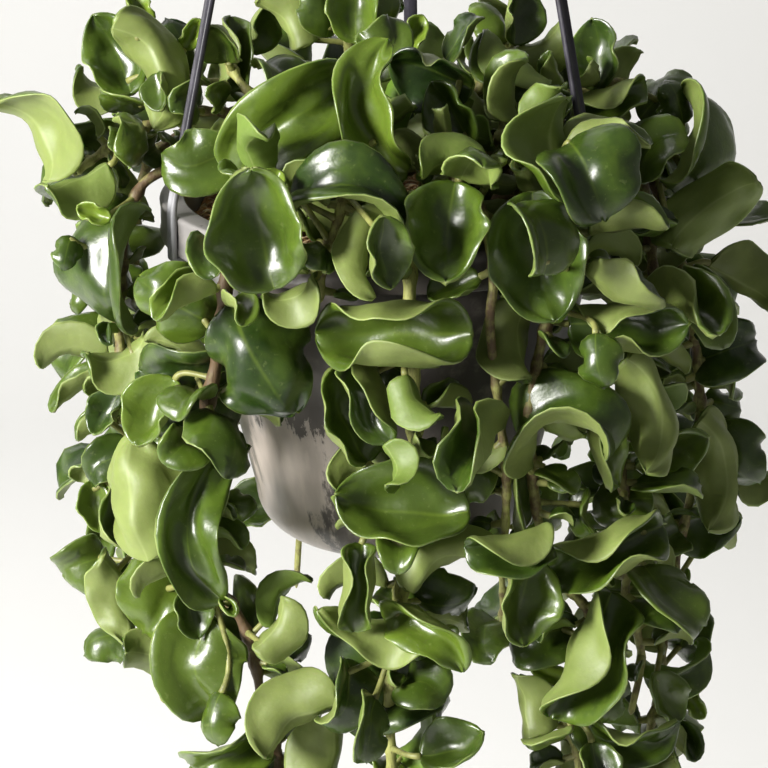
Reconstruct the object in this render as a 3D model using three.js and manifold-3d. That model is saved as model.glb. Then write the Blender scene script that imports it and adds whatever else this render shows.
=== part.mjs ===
// Hindu rope plant (a curly-leaved wax plant) in a plastic hanging pot on a three-armed hanger.
// Millimetres, +Z up. The parts are laid out round the pot's axis with the rim's top at height 0,
// and the whole is then lowered so that the inside of the hook, where it hangs, is the origin.
import * as THREE from "three";
import { mergeVertices } from "three/addons/utils/BufferGeometryUtils.js";
import Module from "manifold-3d";

const wasm = await Module();
wasm.setup();

// Pot sizes, from an eight inch hanging pot
const RIM_RADIUS = 100;
const BAND_HEIGHT = 16.7;
const WALL = 2.2;
const WALL_TOP_RADIUS = 91.5;
const CORNER_TOP_RADIUS = 60.5;
const CORNER_HEIGHT = 20;
const BASE_RADIUS = 42;
const POT_HEIGHT = 151;
const POT_SIDES = 32;
const CORNER_STEPS = 3;
const DRAIN_RADIUS = 3.5;
const DRAIN_CIRCLE = 27;
const DRAIN_COUNT = 6;

// Soil, which fills the pot to just under the rim
const SOIL_TOP = -8;
const SOIL_EDGE = -11;
const FIT_GAP = 0.3;
const HOLE_RADIUS = 3;

// Hanger sizes
const ARM_ANGLES = { left: -64.6, right: 55.4, back: 175.4 };
const ARM_WIDTH = 6;
const ARM_THICKNESS = 2.4;
const HUB_HEIGHT = 430;
const HUB_RADIUS = 9;
const HUB_LENGTH = 14;
const ROD_RADIUS = 2.2;
const HOOK_BEND_RADIUS = 11.2;
const HOOK_CENTRE = 470;
const HANG_HEIGHT = HOOK_CENTRE + HOOK_BEND_RADIUS - ROD_RADIUS;

// Stem and leaf sizes
const STEM_RADIUS = 2.1;
const STEM_SIDES = 4;
const ROOT_DEPTH = -28;
const PETIOLE_HALF_WIDTH = 1.2;
const BLADE_THICKNESS = 1.8;

// The viewer that the hand-placed leaves are described for: sideways shift, distance from the pot's
// axis, height above the rim and downward tilt
const VIEW = { x: 5.5, distance: 1200, height: 312, tilt: 0.321 };

const RAD = Math.PI / 180;
const vec = (x, y, z) => new THREE.Vector3(x, y, z);

// Leaf forms: width over length; fold, curl and flare of the left and right half; then bend, hook
// and twist of the midrib, its sideways sweep, the margin's wave, and how blunt the tip is
const FORMS = {
  cup: [1.1, 48, 38, 62, 72, -56, -56, -46, -30, 10, 16, 18, 0.6],
  dome: [0.94, -20, -36, -54, -50, 30, 40, 66, 56, 8, 12, 38, 0.72],
  swirl: [0.92, -34, 62, -60, 60, 60, -70, 60, 50, 24, 40, 24, 0.68],
  flat: [0.85, 52, 20, 44, 34, -80, -50, 84, 60, 20, 30, 26, 0.62],
  shell: [1.0, 60, 34, 60, 56, -50, -40, 50, 30, -15, -30, 22, 0.62],
  pod: [1.15, 84, 80, 68, 64, -50, -40, 10, 10, 0, 0, 14, 0.62],
  lips: [1.25, 58, 50, 104, 112, -40, -30, -20, -20, 0, 0, 14, 0.6],
  boat: [0.95, 48, 34, 56, 60, -60, -40, -40, -30, 0, 10, 14, 0.66],
  halfL: [1.15, 90, -20, 50, -34, -110, 10, 70, 46, 20, 56, 22, 0.6],
  halfR: [1.15, -20, 90, -34, 50, 10, -110, 70, 46, -20, -56, 22, 0.6],
  wave: [0.7, 56, 40, 44, 24, -90, -50, 160, 70, 10, 20, 18, 0.6],
  ribbon: [0.44, 64, 40, 44, 20, -100, -50, 176, 60, 10, 20, 10, 0.62],
  ess: [0.4, 56, 30, 40, 60, -60, -60, 30, 40, 50, -130, 16, 0.8],
  roll: [1.15, 78, 66, 104, 80, -50, -50, 20, 20, 15, 20, 14, 0.6],
  cres: [0.66, 44, 84, 44, 66, -44, -90, 60, 0, 10, 100, 12, 0.7],
  cresN: [0.66, 84, 44, 66, 44, -90, -44, 60, 0, -10, -100, 12, 0.7],
  hook: [0.66, 60, 60, 40, 40, -54, -54, 130, 60, 0, 0, 10, 0.7],
  young: [1.1, 56, 56, 66, 66, -40, -40, -50, -30, 0, 0, 0, 0.55],
  strap: [0.56, 54, 34, 34, 26, -60, -40, 60, 60, 30, 50, 20, 0.6],
};

// Stems: where each rises from the soil, its way over the rim as true x, y, z, and the hanging
// part as seen x, seen height and depth
const STEMS = {
  front: {
    root: [8, -50],
    arch: [[8, -72, 16], [7, -97, 13], [7, -108, -6]],
    hang: [[7, -58, -109], [9, -92, -107], [9, -125, -106], [5, -165, -105], [3, -190, -105],
      [-1, -224, -105], [-1, -262, -105], [2, -310, -104], [0, -345, -103]],
  },
  left_front: {
    root: [-40, -40],
    arch: [[-50, -60, 16], [-60, -84, 12], [-66, -92, -8]],
    hang: [[-76, -70, -90], [-84, -110, -88], [-88, -150, -86], [-83, -178, -86],
      [-70, -196, -88], [-63, -215, -88], [-60, -237, -88], [-56, -255, -88], [-50, -275, -88],
      [-44, -310, -88], [-42, -345, -88]],
  },
  left_outer: {
    root: [-62, -8],
    arch: [[-84, -18, 16], [-104, -24, 10], [-112, -28, -8]],
    hang: [[-118, -40, -30], [-119, -75, -34], [-114, -110, -38], [-111, -150, -42],
      [-112, -185, -45], [-108, -215, -48], [-104, -240, -50]],
  },
  left_back: {
    root: [-50, 30],
    arch: [[-78, 36, 18], [-100, 36, 12], [-112, 38, -8], [-116, 40, -50], [-112, 42, -110],
      [-114, 40, -170]],
    hang: [],
  },
  right_front: {
    root: [42, -42],
    arch: [[54, -62, 16], [62, -82, 12], [67, -92, -8]],
    hang: [[64, -70, -96], [60, -100, -100], [62, -135, -98], [68, -165, -96], [78, -182, -96],
      [88, -197, -96], [86, -222, -96], [78, -245, -96], [84, -265, -96], [88, -300, -96],
      [90, -340, -96]],
  },
  centre_right: {
    root: [28, -55],
    arch: [[32, -74, 18], [36, -96, 13], [40, -104, -6]],
    hang: [[42, -60, -106], [46, -95, -106], [50, -130, -104], [50, -160, -104], [54, -185, -104]],
  },
  right_mid: {
    root: [62, -26],
    arch: [[80, -34, 18], [98, -38, 12], [106, -44, -8]],
    hang: [[112, -50, -60], [104, -90, -75], [100, -125, -82], [108, -160, -82],
      [104, -185, -80], [112, -215, -74], [108, -245, -74]],
  },
  right_outer: {
    root: [64, 2],
    arch: [[86, -4, 18], [106, -8, 12], [116, -12, -8]],
    hang: [[128, -48, -24], [134, -90, -30], [133, -130, -34], [126, -170, -40],
      [122, -205, -44], [120, -235, -46], [116, -262, -46], [117, -300, -46]],
  },
  right_back: {
    root: [50, 34],
    arch: [[78, 42, 18], [100, 42, 12], [110, 44, -8], [114, 46, -60], [110, 48, -120],
      [112, 46, -180]],
    hang: [],
  },
  back_left: {
    root: [-24, 58],
    arch: [[-34, 82, 18], [-42, 102, 12], [-46, 110, -8], [-48, 114, -70], [-44, 112, -150],
      [-48, 113, -230]],
    hang: [],
  },
  back_right: {
    root: [26, 58],
    arch: [[38, 82, 18], [48, 99, 12], [52, 106, -8], [54, 110, -70], [50, 110, -160],
      [54, 110, -250]],
    hang: [],
  },
  crown_left: {
    root: [-46, -14],
    arch: [[-62, -15, 34]],
    hang: [[-90, 34, -10], [-116, 22, -10], [-136, 8, -10]],
  },
  crown_upleft: {
    root: [-36, 4],
    arch: [[-58, 6, 40]],
    hang: [[-92, 50, 5], [-110, 64, 5]],
  },
  crown_midleft: {
    root: [-28, -20],
    arch: [[-42, -22, 34]],
    hang: [[-62, 44, -20], [-70, 56, -12]],
  },
  crown_centre: {
    root: [-6, -32],
    arch: [[-8, -54, 36], [-14, -86, 38], [-20, -104, 20]],
    hang: [[-30, -32, -106], [-32, -50, -106]],
  },
  crown_left_front: {
    root: [-20, -42],
    arch: [[-36, -66, 30], [-50, -88, 26], [-56, -98, 8]],
    hang: [[-62, -38, -106]],
  },
  crown_right_front: {
    root: [30, -26],
    arch: [[44, -50, 36], [60, -76, 34]],
    hang: [[72, 2, -96], [78, -24, -104], [76, -48, -106]],
  },
  crown_front_right: {
    root: [12, -32],
    arch: [[18, -60, 36], [24, -88, 32], [26, -104, 12]],
    hang: [[27, -34, -108]],
  },
  crown_top: {
    root: [-10, 8],
    arch: [[-14, 10, 40], [-20, 8, 66]],
    hang: [],
  },
  crown_topright: {
    root: [18, 4],
    arch: [[34, 6, 40], [52, 4, 62]],
    hang: [],
  },
  crown_right: {
    root: [38, -6],
    arch: [[60, -14, 36], [78, -18, 48], [96, -18, 52]],
    hang: [],
  },
  crown_far_right: {
    root: [46, 12],
    arch: [[76, 4, 32], [104, -6, 28], [126, -12, 12]],
    hang: [],
  },
};

// Hand-placed leaves: seen x, seen height, depth, heading, pitch towards the viewer, roll (0 shows
// the glossy face, 180 the underside), length and form
const LEAVES = {
  crown_left: [
    [-150, 27, -10, 125, 0, 150, 50, "halfR"],
    [-136, 0, -14, 205, 10, 224, 38, "shell"],
    [-113, -2, -22, -62, 0, 133, 42, "cres"],
    [-128, 16, -6, 180, 0, 23, 36, "halfR"],
    [-104, 22, -30, -100, 10, -38, 34, "cup"],
    [-84, 14, -50, 10, 0, 40, 34, "swirl"],
  ],
  crown_upleft: [
    [-118, 60, 5, 115, 0, -8, 40, "boat"],
    [-101, 52, -8, 112, 0, 165, 56, "cresN"],
    [-91, 62, 0, 105, 0, 30, 36, "dome"],
    [-107, 78, 8, 110, 0, 20, 20, "young"],
    [-85, 68, 12, 60, 0, 10, 18, "young"],
    [-125, 44, 22, 160, 0, 226, 30, "flat"],
    [-115, 38, 0, 170, 0, -28, 26, "swirl"],
    [-100, 43, -6, -80, 0, 40, 24, "cup"],
  ],
  crown_midleft: [
    [-67, 60, 0, 85, 0, 30, 32, "pod"],
    [-47, 45, -20, 110, 0, 36, 38, "flat"],
    [-68, 31, -27, 215, 0, 135, 28, "cres"],
    [-56, 70, 10, 70, 0, 54, 28, "cup"],
  ],
  left_outer: [
    [-124, -32, -36, -95, 0, 20, 62, "halfL"],
    [-112, -18, -26, -85, 0, 18, 34, "cup"],
    [-129, -10, -34, 160, 0, 0, 16, "young"],
    [-133, -24, -30, -100, 0, 228, 27, "flat"],
    [-141, -28, -24, -100, 0, -8, 20, "dome"],
    [-136, -48, -26, -110, 0, 46, 18, "dome"],
    [-122, -64, -48, 190, 0, -2, 26, "dome"],
    [-119, -76, -48, 200, 0, 216, 36, "flat"],
    [-126, -88, -44, 185, 0, 141, 24, "dome"],
    [-127, -101, -46, -120, 0, 28, 22, "cup"],
    [-137, -128, -40, 190, 0, 139, 17, "dome"],
    [-126, -125, -42, 215, 0, 50, 26, "swirl"],
    [-132, -145, -42, -80, 0, -8, 24, "boat"],
    [-139, -173, -46, 200, 0, 26, 26, "halfR"],
    [-126, -190, -60, -75, 0, 136, 46, "cres"],
    [-118, -178, -40, -30, 0, 44, 20, "dome"],
    [-109, -216, -72, 165, 0, 133, 34, "flat"],
  ],
  left_front: [
    [-95, -49, -84, 150, 5, -14, 44, "dome"],
    [-57, -78, -104, -60, 0, 5, 60, "dome"],
    [-94, -70, -76, -35, 0, 228, 30, "cres"],
    [-88, -89, -86, 172, 0, 12, 58, "halfR"],
    [-106, -100, -88, -120, 0, 31, 34, "cup"],
    [-112, -139, -92, 98, 0, 156, 56, "boat"],
    [-84, -150, -92, 80, 0, 10, 84, "ess"],
    [-68, -144, -76, -10, 0, -12, 18, "dome"],
    [-74, -168, -70, -6, 0, 226, 28, "shell"],
    [-104, -188, -88, -120, 0, -28, 42, "halfL"],
    [-85, -223, -96, -80, 0, 40, 48, "swirl"],
    [-90, -196, -80, -80, 0, -18, 24, "cup"],
    [-80, -249, -98, -95, 0, 26, 26, "dome"],
    [-78, -268, -94, 200, 0, -12, 48, "hook"],
    [-50, -186, -86, 52, 0, 224, 32, "strap"],
    [-51, -203, -96, 60, 0, 133, 28, "shell"],
    [-47, -212, -84, 15, 0, 28, 26, "dome"],
    [-61, -212, -96, 250, 0, 131, 18, "dome"],
    [-48, -231, -86, -52, 0, 228, 32, "flat"],
  ],
  crown_left_front: [
    [-42, 30, -62, 215, 0, -10, 74, "strap"],
    [-58, -17, -112, -80, 0, 5, 60, "cup"],
  ],
  crown_centre: [
    [-9, 36, -88, -82, 0, 22, 62, "cres"],
    [-5, 64, -54, 60, 0, 44, 28, "swirl"],
    [-18, -5, -116, -18, 0, -54, 78, "ribbon"],
    [-14, -28, -124, -100, 0, 125, 46, "cresN"],
    [-3, -28, -120, -85, 0, -33, 34, "boat"],
    [-54, 0, -116, 240, 0, 10, 20, "young"],
    [-25, -48, -110, -100, 0, -28, 28, "cup"],
    [-43, -48, -100, 200, 0, 214, 32, "flat"],
  ],
  front: [
    [-2, -64, -120, 0, 12, 0, 64, "lips"],
    [10, -97, -112, -50, 0, 128, 28, "shell"],
    [-19, -101, -108, -70, 0, -32, 44, "cup"],
    [-11, -93, -116, -75, 0, 30, 42, "pod"],
    [-15, -127, -110, 200, 0, 131, 32, "flat"],
    [2, -126, -112, -85, 0, 228, 26, "flat"],
    [3, -144, -120, -6, 0, -24, 58, "boat"],
    [25, -168, -110, 18, 0, 222, 46, "cres"],
    [-16, -184, -110, 85, 0, -2, 36, "pod"],
    [23, -187, -104, 4, 0, 39, 34, "dome"],
    [24, -198, -96, 180, 0, 141, 24, "flat"],
    [-6, -205, -112, -8, 0, 112, 62, "cres"],
    [14, -206, -106, -32, 0, 10, 52, "cresN"],
    [-3, -226, -116, 10, 0, 5, 56, "halfR"],
    [-46, -246, -112, 215, 0, 137, 42, "shell"],
    [-22, -238, -108, 70, 0, 36, 36, "flat"],
    [-10, -253, -114, -95, 0, -17, 34, "swirl"],
    [15, -250, -106, 72, 0, 49, 44, "halfL"],
    [27, -261, -104, 22, 0, -32, 36, "cup"],
    [-32, -269, -108, 85, 0, 218, 40, "shell"],
  ],
  crown_top: [
    [-45, 75, 10, 130, 0, 131, 30, "shell"],
    [-31, 80, 0, 105, 0, 40, 30, "dome"],
    [-17, 80, -6, 95, 0, -8, 32, "cup"],
    [-4, 78, 4, 75, 0, 36, 28, "dome"],
    [8, 68, -8, 60, 0, 10, 20, "young"],
  ],
  crown_front_right: [
    [15, 50, -60, -20, 0, 39, 38, "cup"],
    [28, 68, -30, 60, 0, -22, 26, "swirl"],
    [24, 34, -70, -60, 0, 28, 32, "boat"],
    [22, 13, -88, 190, 0, 139, 32, "shell"],
    [23, -18, -112, -95, 0, 5, 52, "cup"],
  ],
  crown_topright: [
    [48, 53, -30, -40, 0, 60, 36, "pod"],
    [53, 77, -4, 85, 0, 36, 28, "cup"],
    [62, 62, -10, 30, 0, 135, 30, "shell"],
    [40, 74, 0, 130, 0, 44, 26, "dome"],
  ],
  crown_right_front: [
    [68, 16, -88, -72, 0, 152, 52, "halfR"],
    [84, 8, -98, -70, 0, 23, 46, "halfR"],
    [64, -18, -116, 110, 0, -13, 44, "halfL"],
    [63, -30, -106, -80, 0, 5, 56, "cup"],
  ],
  crown_right: [
    [85, 60, -20, 92, 0, -23, 32, "cup"],
    [96, 52, -16, 70, 0, 222, 24, "shell"],
    [75, 45, -24, 150, 0, -12, 28, "swirl"],
    [93, 40, -28, 20, 0, 30, 32, "pod"],
    [116, 42, -4, 40, 0, -22, 34, "dome"],
  ],
  crown_far_right: [
    [131, 23, -22, 80, 0, 25, 52, "halfL"],
    [119, 40, -10, 110, 0, -18, 26, "dome"],
    [133, -10, -44, 40, 0, 170, 56, "strap"],
    [154, -10, -12, 10, 0, -18, 26, "swirl"],
    [111, -14, -46, 200, 0, 46, 26, "cup"],
  ],
  centre_right: [
    [52, -68, -98, -90, 0, 135, 40, "shell"],
    [34, -117, -104, 170, 0, 224, 32, "strap"],
    [50, -112, -108, -60, 0, -27, 42, "boat"],
    [30, -130, -106, -160, 0, 28, 34, "dome"],
    [57, -140, -108, -80, 0, -33, 46, "swirl"],
    [54, -165, -112, 12, 0, 30, 46, "roll"],
    [60, -191, -108, -100, 0, -23, 38, "cup"],
    [69, -194, -104, 60, 0, 10, 18, "young"],
  ],
  right_front: [
    [101, -61, -104, 0, 15, 15, 50, "lips"],
    [90, -77, -104, -80, 0, 39, 32, "dome"],
    [74, -106, -112, 12, 0, -66, 74, "wave"],
    [85, -116, -108, -80, 0, 226, 38, "shell"],
    [94, -116, -100, -75, 0, -33, 40, "cres"],
    [85, -149, -92, -75, 0, 50, 26, "strap"],
    [66, -205, -104, 195, 0, -23, 32, "halfL"],
    [90, -219, -112, 65, 0, 24, 58, "pod"],
    [97, -235, -108, -88, 0, -17, 32, "dome"],
    [107, -257, -100, -5, 0, 44, 48, "cres"],
    [70, -224, -102, 150, 0, 5, 18, "young"],
    [63, -240, -100, -80, 0, 218, 30, "shell"],
    [70, -258, -100, 200, 0, -33, 22, "swirl"],
    [80, -272, -100, -100, 0, 228, 28, "shell"],
    [95, -272, -96, -70, 0, -18, 28, "cup"],
  ],
  right_mid: [
    [108, -77, -92, -80, 0, 222, 30, "shell"],
    [112, -100, -92, -80, 0, 172, 56, "cres"],
    [122, -117, -84, 20, 0, 39, 42, "boat"],
    [100, -143, -98, 10, 0, -27, 36, "dome"],
    [95, -166, -106, 20, 0, 10, 52, "pod"],
    [102, -182, -86, 0, 0, -28, 30, "swirl"],
    [118, -168, -78, -75, 0, 220, 24, "strap"],
    [114, -184, -76, 35, 0, 137, 24, "strap"],
  ],
  right_outer: [
    [152, -38, -14, -30, 0, 214, 36, "shell"],
    [146, -71, -30, 20, 0, -12, 36, "flat"],
    [139, -85, -34, -5, 0, 224, 36, "flat"],
    [145, -97, -30, -15, 0, -22, 26, "dome"],
    [152, -120, -30, -60, 0, 28, 38, "dome"],
    [142, -128, -46, -85, 0, 172, 56, "cres"],
    [138, -152, -44, 5, 0, 35, 36, "cup"],
    [161, -132, -24, 10, 0, 129, 26, "flat"],
    [115, -198, -60, 95, 0, 222, 30, "shell"],
    [132, -204, -48, 70, 0, -12, 34, "flat"],
    [130, -222, -56, 20, 0, 44, 40, "hook"],
    [125, -237, -60, -60, 0, -27, 30, "cup"],
    [137, -240, -50, -60, 0, 10, 16, "young"],
    [118, -272, -50, 10, 0, 139, 32, "flat"],
  ],
};

// Solids and meshes
function solidOf(geometry) {
  geometry.deleteAttribute("normal");
  geometry.deleteAttribute("uv");
  const merged = mergeVertices(geometry.index ? geometry.toNonIndexed() : geometry, 1e-4);
  return new wasm.Manifold(new wasm.Mesh({
    numProp: 3,
    vertProperties: new Float32Array(merged.attributes.position.array),
    triVerts: new Uint32Array(merged.index.array),
  }));
}

function geometryOf(solid) {
  const mesh = solid.getMesh();
  const geometry = new THREE.BufferGeometry();
  geometry.setAttribute("position", new THREE.BufferAttribute(new Float32Array(mesh.vertProperties), 3));
  geometry.setIndex(new THREE.BufferAttribute(new Uint32Array(mesh.triVerts), 1));
  geometry.computeVertexNormals();
  return geometry;
}

// The outer surface alone of a solid, without the hollows that leaves may close off between them
function outerSurface(solid) {
  const { vertProperties, triVerts } = solid.getMesh();
  const leader = Array.from({ length: vertProperties.length / 3 }, (_, i) => i);
  const leaderOf = (i) => {
    let at = i;
    while (leader[at] !== at) at = leader[at];
    leader[i] = at;
    return at;
  };
  for (let t = 0; t < triVerts.length; t += 3) {
    leader[leaderOf(triVerts[t + 1])] = leaderOf(triVerts[t]);
    leader[leaderOf(triVerts[t + 2])] = leaderOf(triVerts[t]);
  }
  const shells = new Map();
  for (let t = 0; t < triVerts.length; t += 3) {
    const key = leaderOf(triVerts[t]);
    if (!shells.has(key)) shells.set(key, []);
    shells.get(key).push(triVerts[t], triVerts[t + 1], triVerts[t + 2]);
  }
  const index = [...shells.values()].reduce((best, list) => (list.length > best.length ? list : best));
  const geometry = new THREE.BufferGeometry();
  geometry.setAttribute("position", new THREE.BufferAttribute(new Float32Array(vertProperties), 3));
  geometry.setIndex(index);
  const whole = mergeVertices(geometry.toNonIndexed(), 1e-6);
  whole.computeVertexNormals();
  return whole;
}

function named(name, geometry, color, roughness) {
  const material = new THREE.MeshStandardMaterial({ color, roughness, metalness: 0 });
  const mesh = new THREE.Mesh(geometry, material);
  mesh.name = name;
  return mesh;
}

// A closed outline of radius and height turned round the pot's axis
function turned(profile) {
  const points = profile.map(([r, z]) => new THREE.Vector2(r, z));
  const geometry = new THREE.LatheGeometry(points, POT_SIDES);
  geometry.rotateX(Math.PI / 2);
  return geometry;
}

function upright(radius, low, high, x, y, sides) {
  const geometry = new THREE.CylinderGeometry(radius, radius, high - low, sides);
  geometry.rotateX(Math.PI / 2);
  geometry.translate(x, y, (low + high) / 2);
  return solidOf(geometry);
}

function rod(points, radius, sides, steps) {
  const shape = new THREE.Shape();
  for (let i = 0; i < sides; i++) {
    const a = (i / sides) * 2 * Math.PI;
    if (i === 0) shape.moveTo(radius, 0);
    else shape.lineTo(radius * Math.cos(a), radius * Math.sin(a));
  }
  shape.closePath();
  const path = new THREE.CatmullRomCurve3(points, false, "catmullrom", 0.5);
  return new THREE.ExtrudeGeometry(shape, { steps, extrudePath: path, curveSegments: sides });
}

// Where a point that looks to be at (x, z) on the axis plane lies when its depth is y
function seen(x, z, y) {
  const share = y / VIEW.distance;
  return vec(x + (x - VIEW.x) * share, y, z + (z - VIEW.height) * share);
}

// Pot: a base with a rounded corner, a slanted wall, and a rim turned out and down into a band
function cornerPoints(baseRadius, topRadius, low, height) {
  const points = [];
  for (let i = 0; i <= CORNER_STEPS; i++) {
    const a = (i / CORNER_STEPS) * (Math.PI / 2);
    points.push([
      baseRadius + (topRadius - baseRadius) * Math.sin(a),
      low + height * (1 - Math.cos(a)),
    ]);
  }
  return points;
}

function buildPot() {
  const inner = WALL_TOP_RADIUS - WALL;
  const geometry = turned([
    [0, -POT_HEIGHT],
    ...cornerPoints(BASE_RADIUS, CORNER_TOP_RADIUS, -POT_HEIGHT, CORNER_HEIGHT),
    [WALL_TOP_RADIUS, -WALL],
    [RIM_RADIUS - WALL, -WALL],
    [RIM_RADIUS - WALL, -BAND_HEIGHT],
    [RIM_RADIUS, -BAND_HEIGHT],
    [RIM_RADIUS, 0],
    [inner, 0],
    ...cornerPoints(BASE_RADIUS - 1, CORNER_TOP_RADIUS - WALL, -POT_HEIGHT + WALL, CORNER_HEIGHT).reverse(),
    [0, -POT_HEIGHT + WALL],
  ]);
  let pot = solidOf(geometry);
  for (let i = 0; i < DRAIN_COUNT; i++) {
    const a = (i / DRAIN_COUNT) * 2 * Math.PI;
    const x = DRAIN_CIRCLE * Math.cos(a);
    const y = DRAIN_CIRCLE * Math.sin(a);
    pot = pot.subtract(upright(DRAIN_RADIUS, -POT_HEIGHT - 1, -POT_HEIGHT + WALL + 1, x, y, 8));
  }
  return named("pot", geometryOf(pot), 0x9c9692, 0.45);
}

// Soil: fills the pot with a small gap and has a plain hole for each stem
function buildSoil() {
  const floor = -POT_HEIGHT + WALL + FIT_GAP;
  const corner = cornerPoints(BASE_RADIUS - 1, CORNER_TOP_RADIUS - WALL, floor, CORNER_HEIGHT)
    .map(([r, z]) => [r - FIT_GAP - 0.1, z]);
  const wallShare = (SOIL_EDGE + POT_HEIGHT - WALL - CORNER_HEIGHT) / (POT_HEIGHT - WALL - CORNER_HEIGHT);
  const innerLow = CORNER_TOP_RADIUS - WALL;
  const edgeRadius = innerLow + (WALL_TOP_RADIUS - WALL - innerLow) * wallShare - FIT_GAP - 0.1;
  let soil = solidOf(turned([
    [0, floor],
    ...corner,
    [edgeRadius, SOIL_EDGE],
    [0, SOIL_TOP],
  ]));
  for (const { root } of Object.values(STEMS)) {
    const hole = upright(HOLE_RADIUS, ROOT_DEPTH - FIT_GAP, SOIL_TOP + 5, root[0], root[1], 5);
    soil = soil.subtract(hole);
  }
  return named("soil", geometryOf(soil), 0x5a4028, 0.95);
}

// Hanger arm: a flat strap from the hub down over the rim's band, with a toe under the band
function buildArm(name, angle) {
  const band = RIM_RADIUS + FIT_GAP;
  const toeTop = -BAND_HEIGHT - FIT_GAP;
  const toeReach = RIM_RADIUS - WALL - 2.6;
  const top = HUB_RADIUS - 3.2;
  const outline = new THREE.Shape();
  [
    [top, HUB_HEIGHT + 2],
    [band, 3],
    [band, toeTop],
    [toeReach, toeTop],
    [toeReach, toeTop + 4],
    [toeReach - 1.8, toeTop + 4],
    [toeReach - 1.8, toeTop - ARM_THICKNESS],
    [band + ARM_THICKNESS, toeTop - ARM_THICKNESS],
    [band + ARM_THICKNESS, 3.5],
    [top + ARM_THICKNESS * 0.9, HUB_HEIGHT + 5],
    [top, HUB_HEIGHT + 5],
  ].forEach(([r, z], i) => (i === 0 ? outline.moveTo(r, z) : outline.lineTo(r, z)));
  outline.closePath();
  const geometry = new THREE.ExtrudeGeometry(outline, { depth: ARM_WIDTH, bevelEnabled: false });
  geometry.translate(0, 0, -ARM_WIDTH / 2);
  geometry.rotateX(Math.PI / 2);
  geometry.rotateZ((angle - 90) * RAD);
  return named("hanger_arm_" + name, geometry, 0x2c2b33, 0.5);
}

// Hanger hub with a slot for each arm, and the hook that rises from it
function buildHub() {
  const low = HUB_HEIGHT - HUB_LENGTH / 2;
  const high = HUB_HEIGHT + HUB_LENGTH / 2;
  let hub = upright(HUB_RADIUS, low, high, 0, 0, 16);
  for (const angle of Object.values(ARM_ANGLES)) {
    const slot = new THREE.BoxGeometry(8, ARM_WIDTH + 2 * FIT_GAP, HUB_LENGTH);
    slot.translate(HUB_RADIUS - 3.2 - FIT_GAP + 4, 0, HUB_HEIGHT - HUB_LENGTH / 2 + 5 + FIT_GAP);
    slot.rotateZ((angle - 90) * RAD);
    hub = hub.subtract(solidOf(slot));
  }
  const bend = vec(HOOK_BEND_RADIUS * 0.75, 0, HOOK_CENTRE - 10);
  const points = [vec(0, 0, high - 4), vec(0, 0, high + 5), bend];
  for (let a = 0; a <= 210; a += 30) {
    const x = HOOK_BEND_RADIUS * Math.cos(a * RAD);
    points.push(vec(x, 0, HOOK_CENTRE + HOOK_BEND_RADIUS * Math.sin(a * RAD)));
  }
  hub = hub.add(solidOf(rod(points, ROD_RADIUS, 7, 14)));
  return named("hanger_hub", geometryOf(hub), 0x2c2b33, 0.5);
}

// Leaf form. A blade is laid out in its own frame: x along the midrib, y to its left, z out of the
// glossy face. Its midrib bends, sweeps and twists, and its section starts at the midrib with a fold
// and is curled, flared and waved towards the margin. Both ends are flatter than the widest section.
const MIDRIB_STEPS = 24;
const HALF_STEPS = 12;
const MARGIN_WAVES = 1.1;
const WAVE_START = [0.6, 2.6];
const BASE_BLUNTNESS = 0.48;
const FOLD_REACH = 0.5;
const FOLD_EASE = 1.3;
const BOWL = 0.9;
const RIM_BOWL = 0.5;

function midribAngles(form, u) {
  return {
    bend: (form[7] * (u - 0.5) + form[8] * (u ** 3 - 0.125)) * RAD,
    sweep: form[10] * (u - 0.5) * RAD,
    twist: form[9] * (u - 0.5) * RAD,
  };
}

function midribTable(length, form) {
  const table = [vec(0, 0, 0)];
  for (let i = 0; i < MIDRIB_STEPS; i++) {
    const { bend, sweep } = midribAngles(form, (i + 0.5) / MIDRIB_STEPS);
    const step = vec(Math.cos(bend) * Math.cos(sweep), Math.sin(sweep), -Math.sin(bend) * Math.cos(sweep));
    table.push(table[i].clone().addScaledVector(step, length / MIDRIB_STEPS));
  }
  return table;
}

// Axes of the midrib at u: along it, across it and out of the glossy face
function midribAxes(form, u) {
  const { bend, sweep, twist } = midribAngles(form, u);
  const [cb, sb, cs, ss] = [Math.cos(bend), Math.sin(bend), Math.cos(sweep), Math.sin(sweep)];
  const across = vec(-cb * ss, cs, sb * ss);
  const out = vec(sb, 0, cb);
  return {
    along: vec(cb * cs, ss, -sb * cs),
    across: across.clone().multiplyScalar(Math.cos(twist)).addScaledVector(out, Math.sin(twist)),
    out: out.clone().multiplyScalar(Math.cos(twist)).addScaledVector(across, -Math.sin(twist)),
  };
}

function halfWidth(length, form, u) {
  const blunt = form[12];
  const sum = BASE_BLUNTNESS + blunt;
  const peak = (BASE_BLUNTNESS / sum) ** BASE_BLUNTNESS * (blunt / sum) ** blunt;
  return ((length * form[0]) / 2) * (u ** BASE_BLUNTNESS * Math.max(1 - u, 0) ** blunt) / peak;
}

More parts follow.
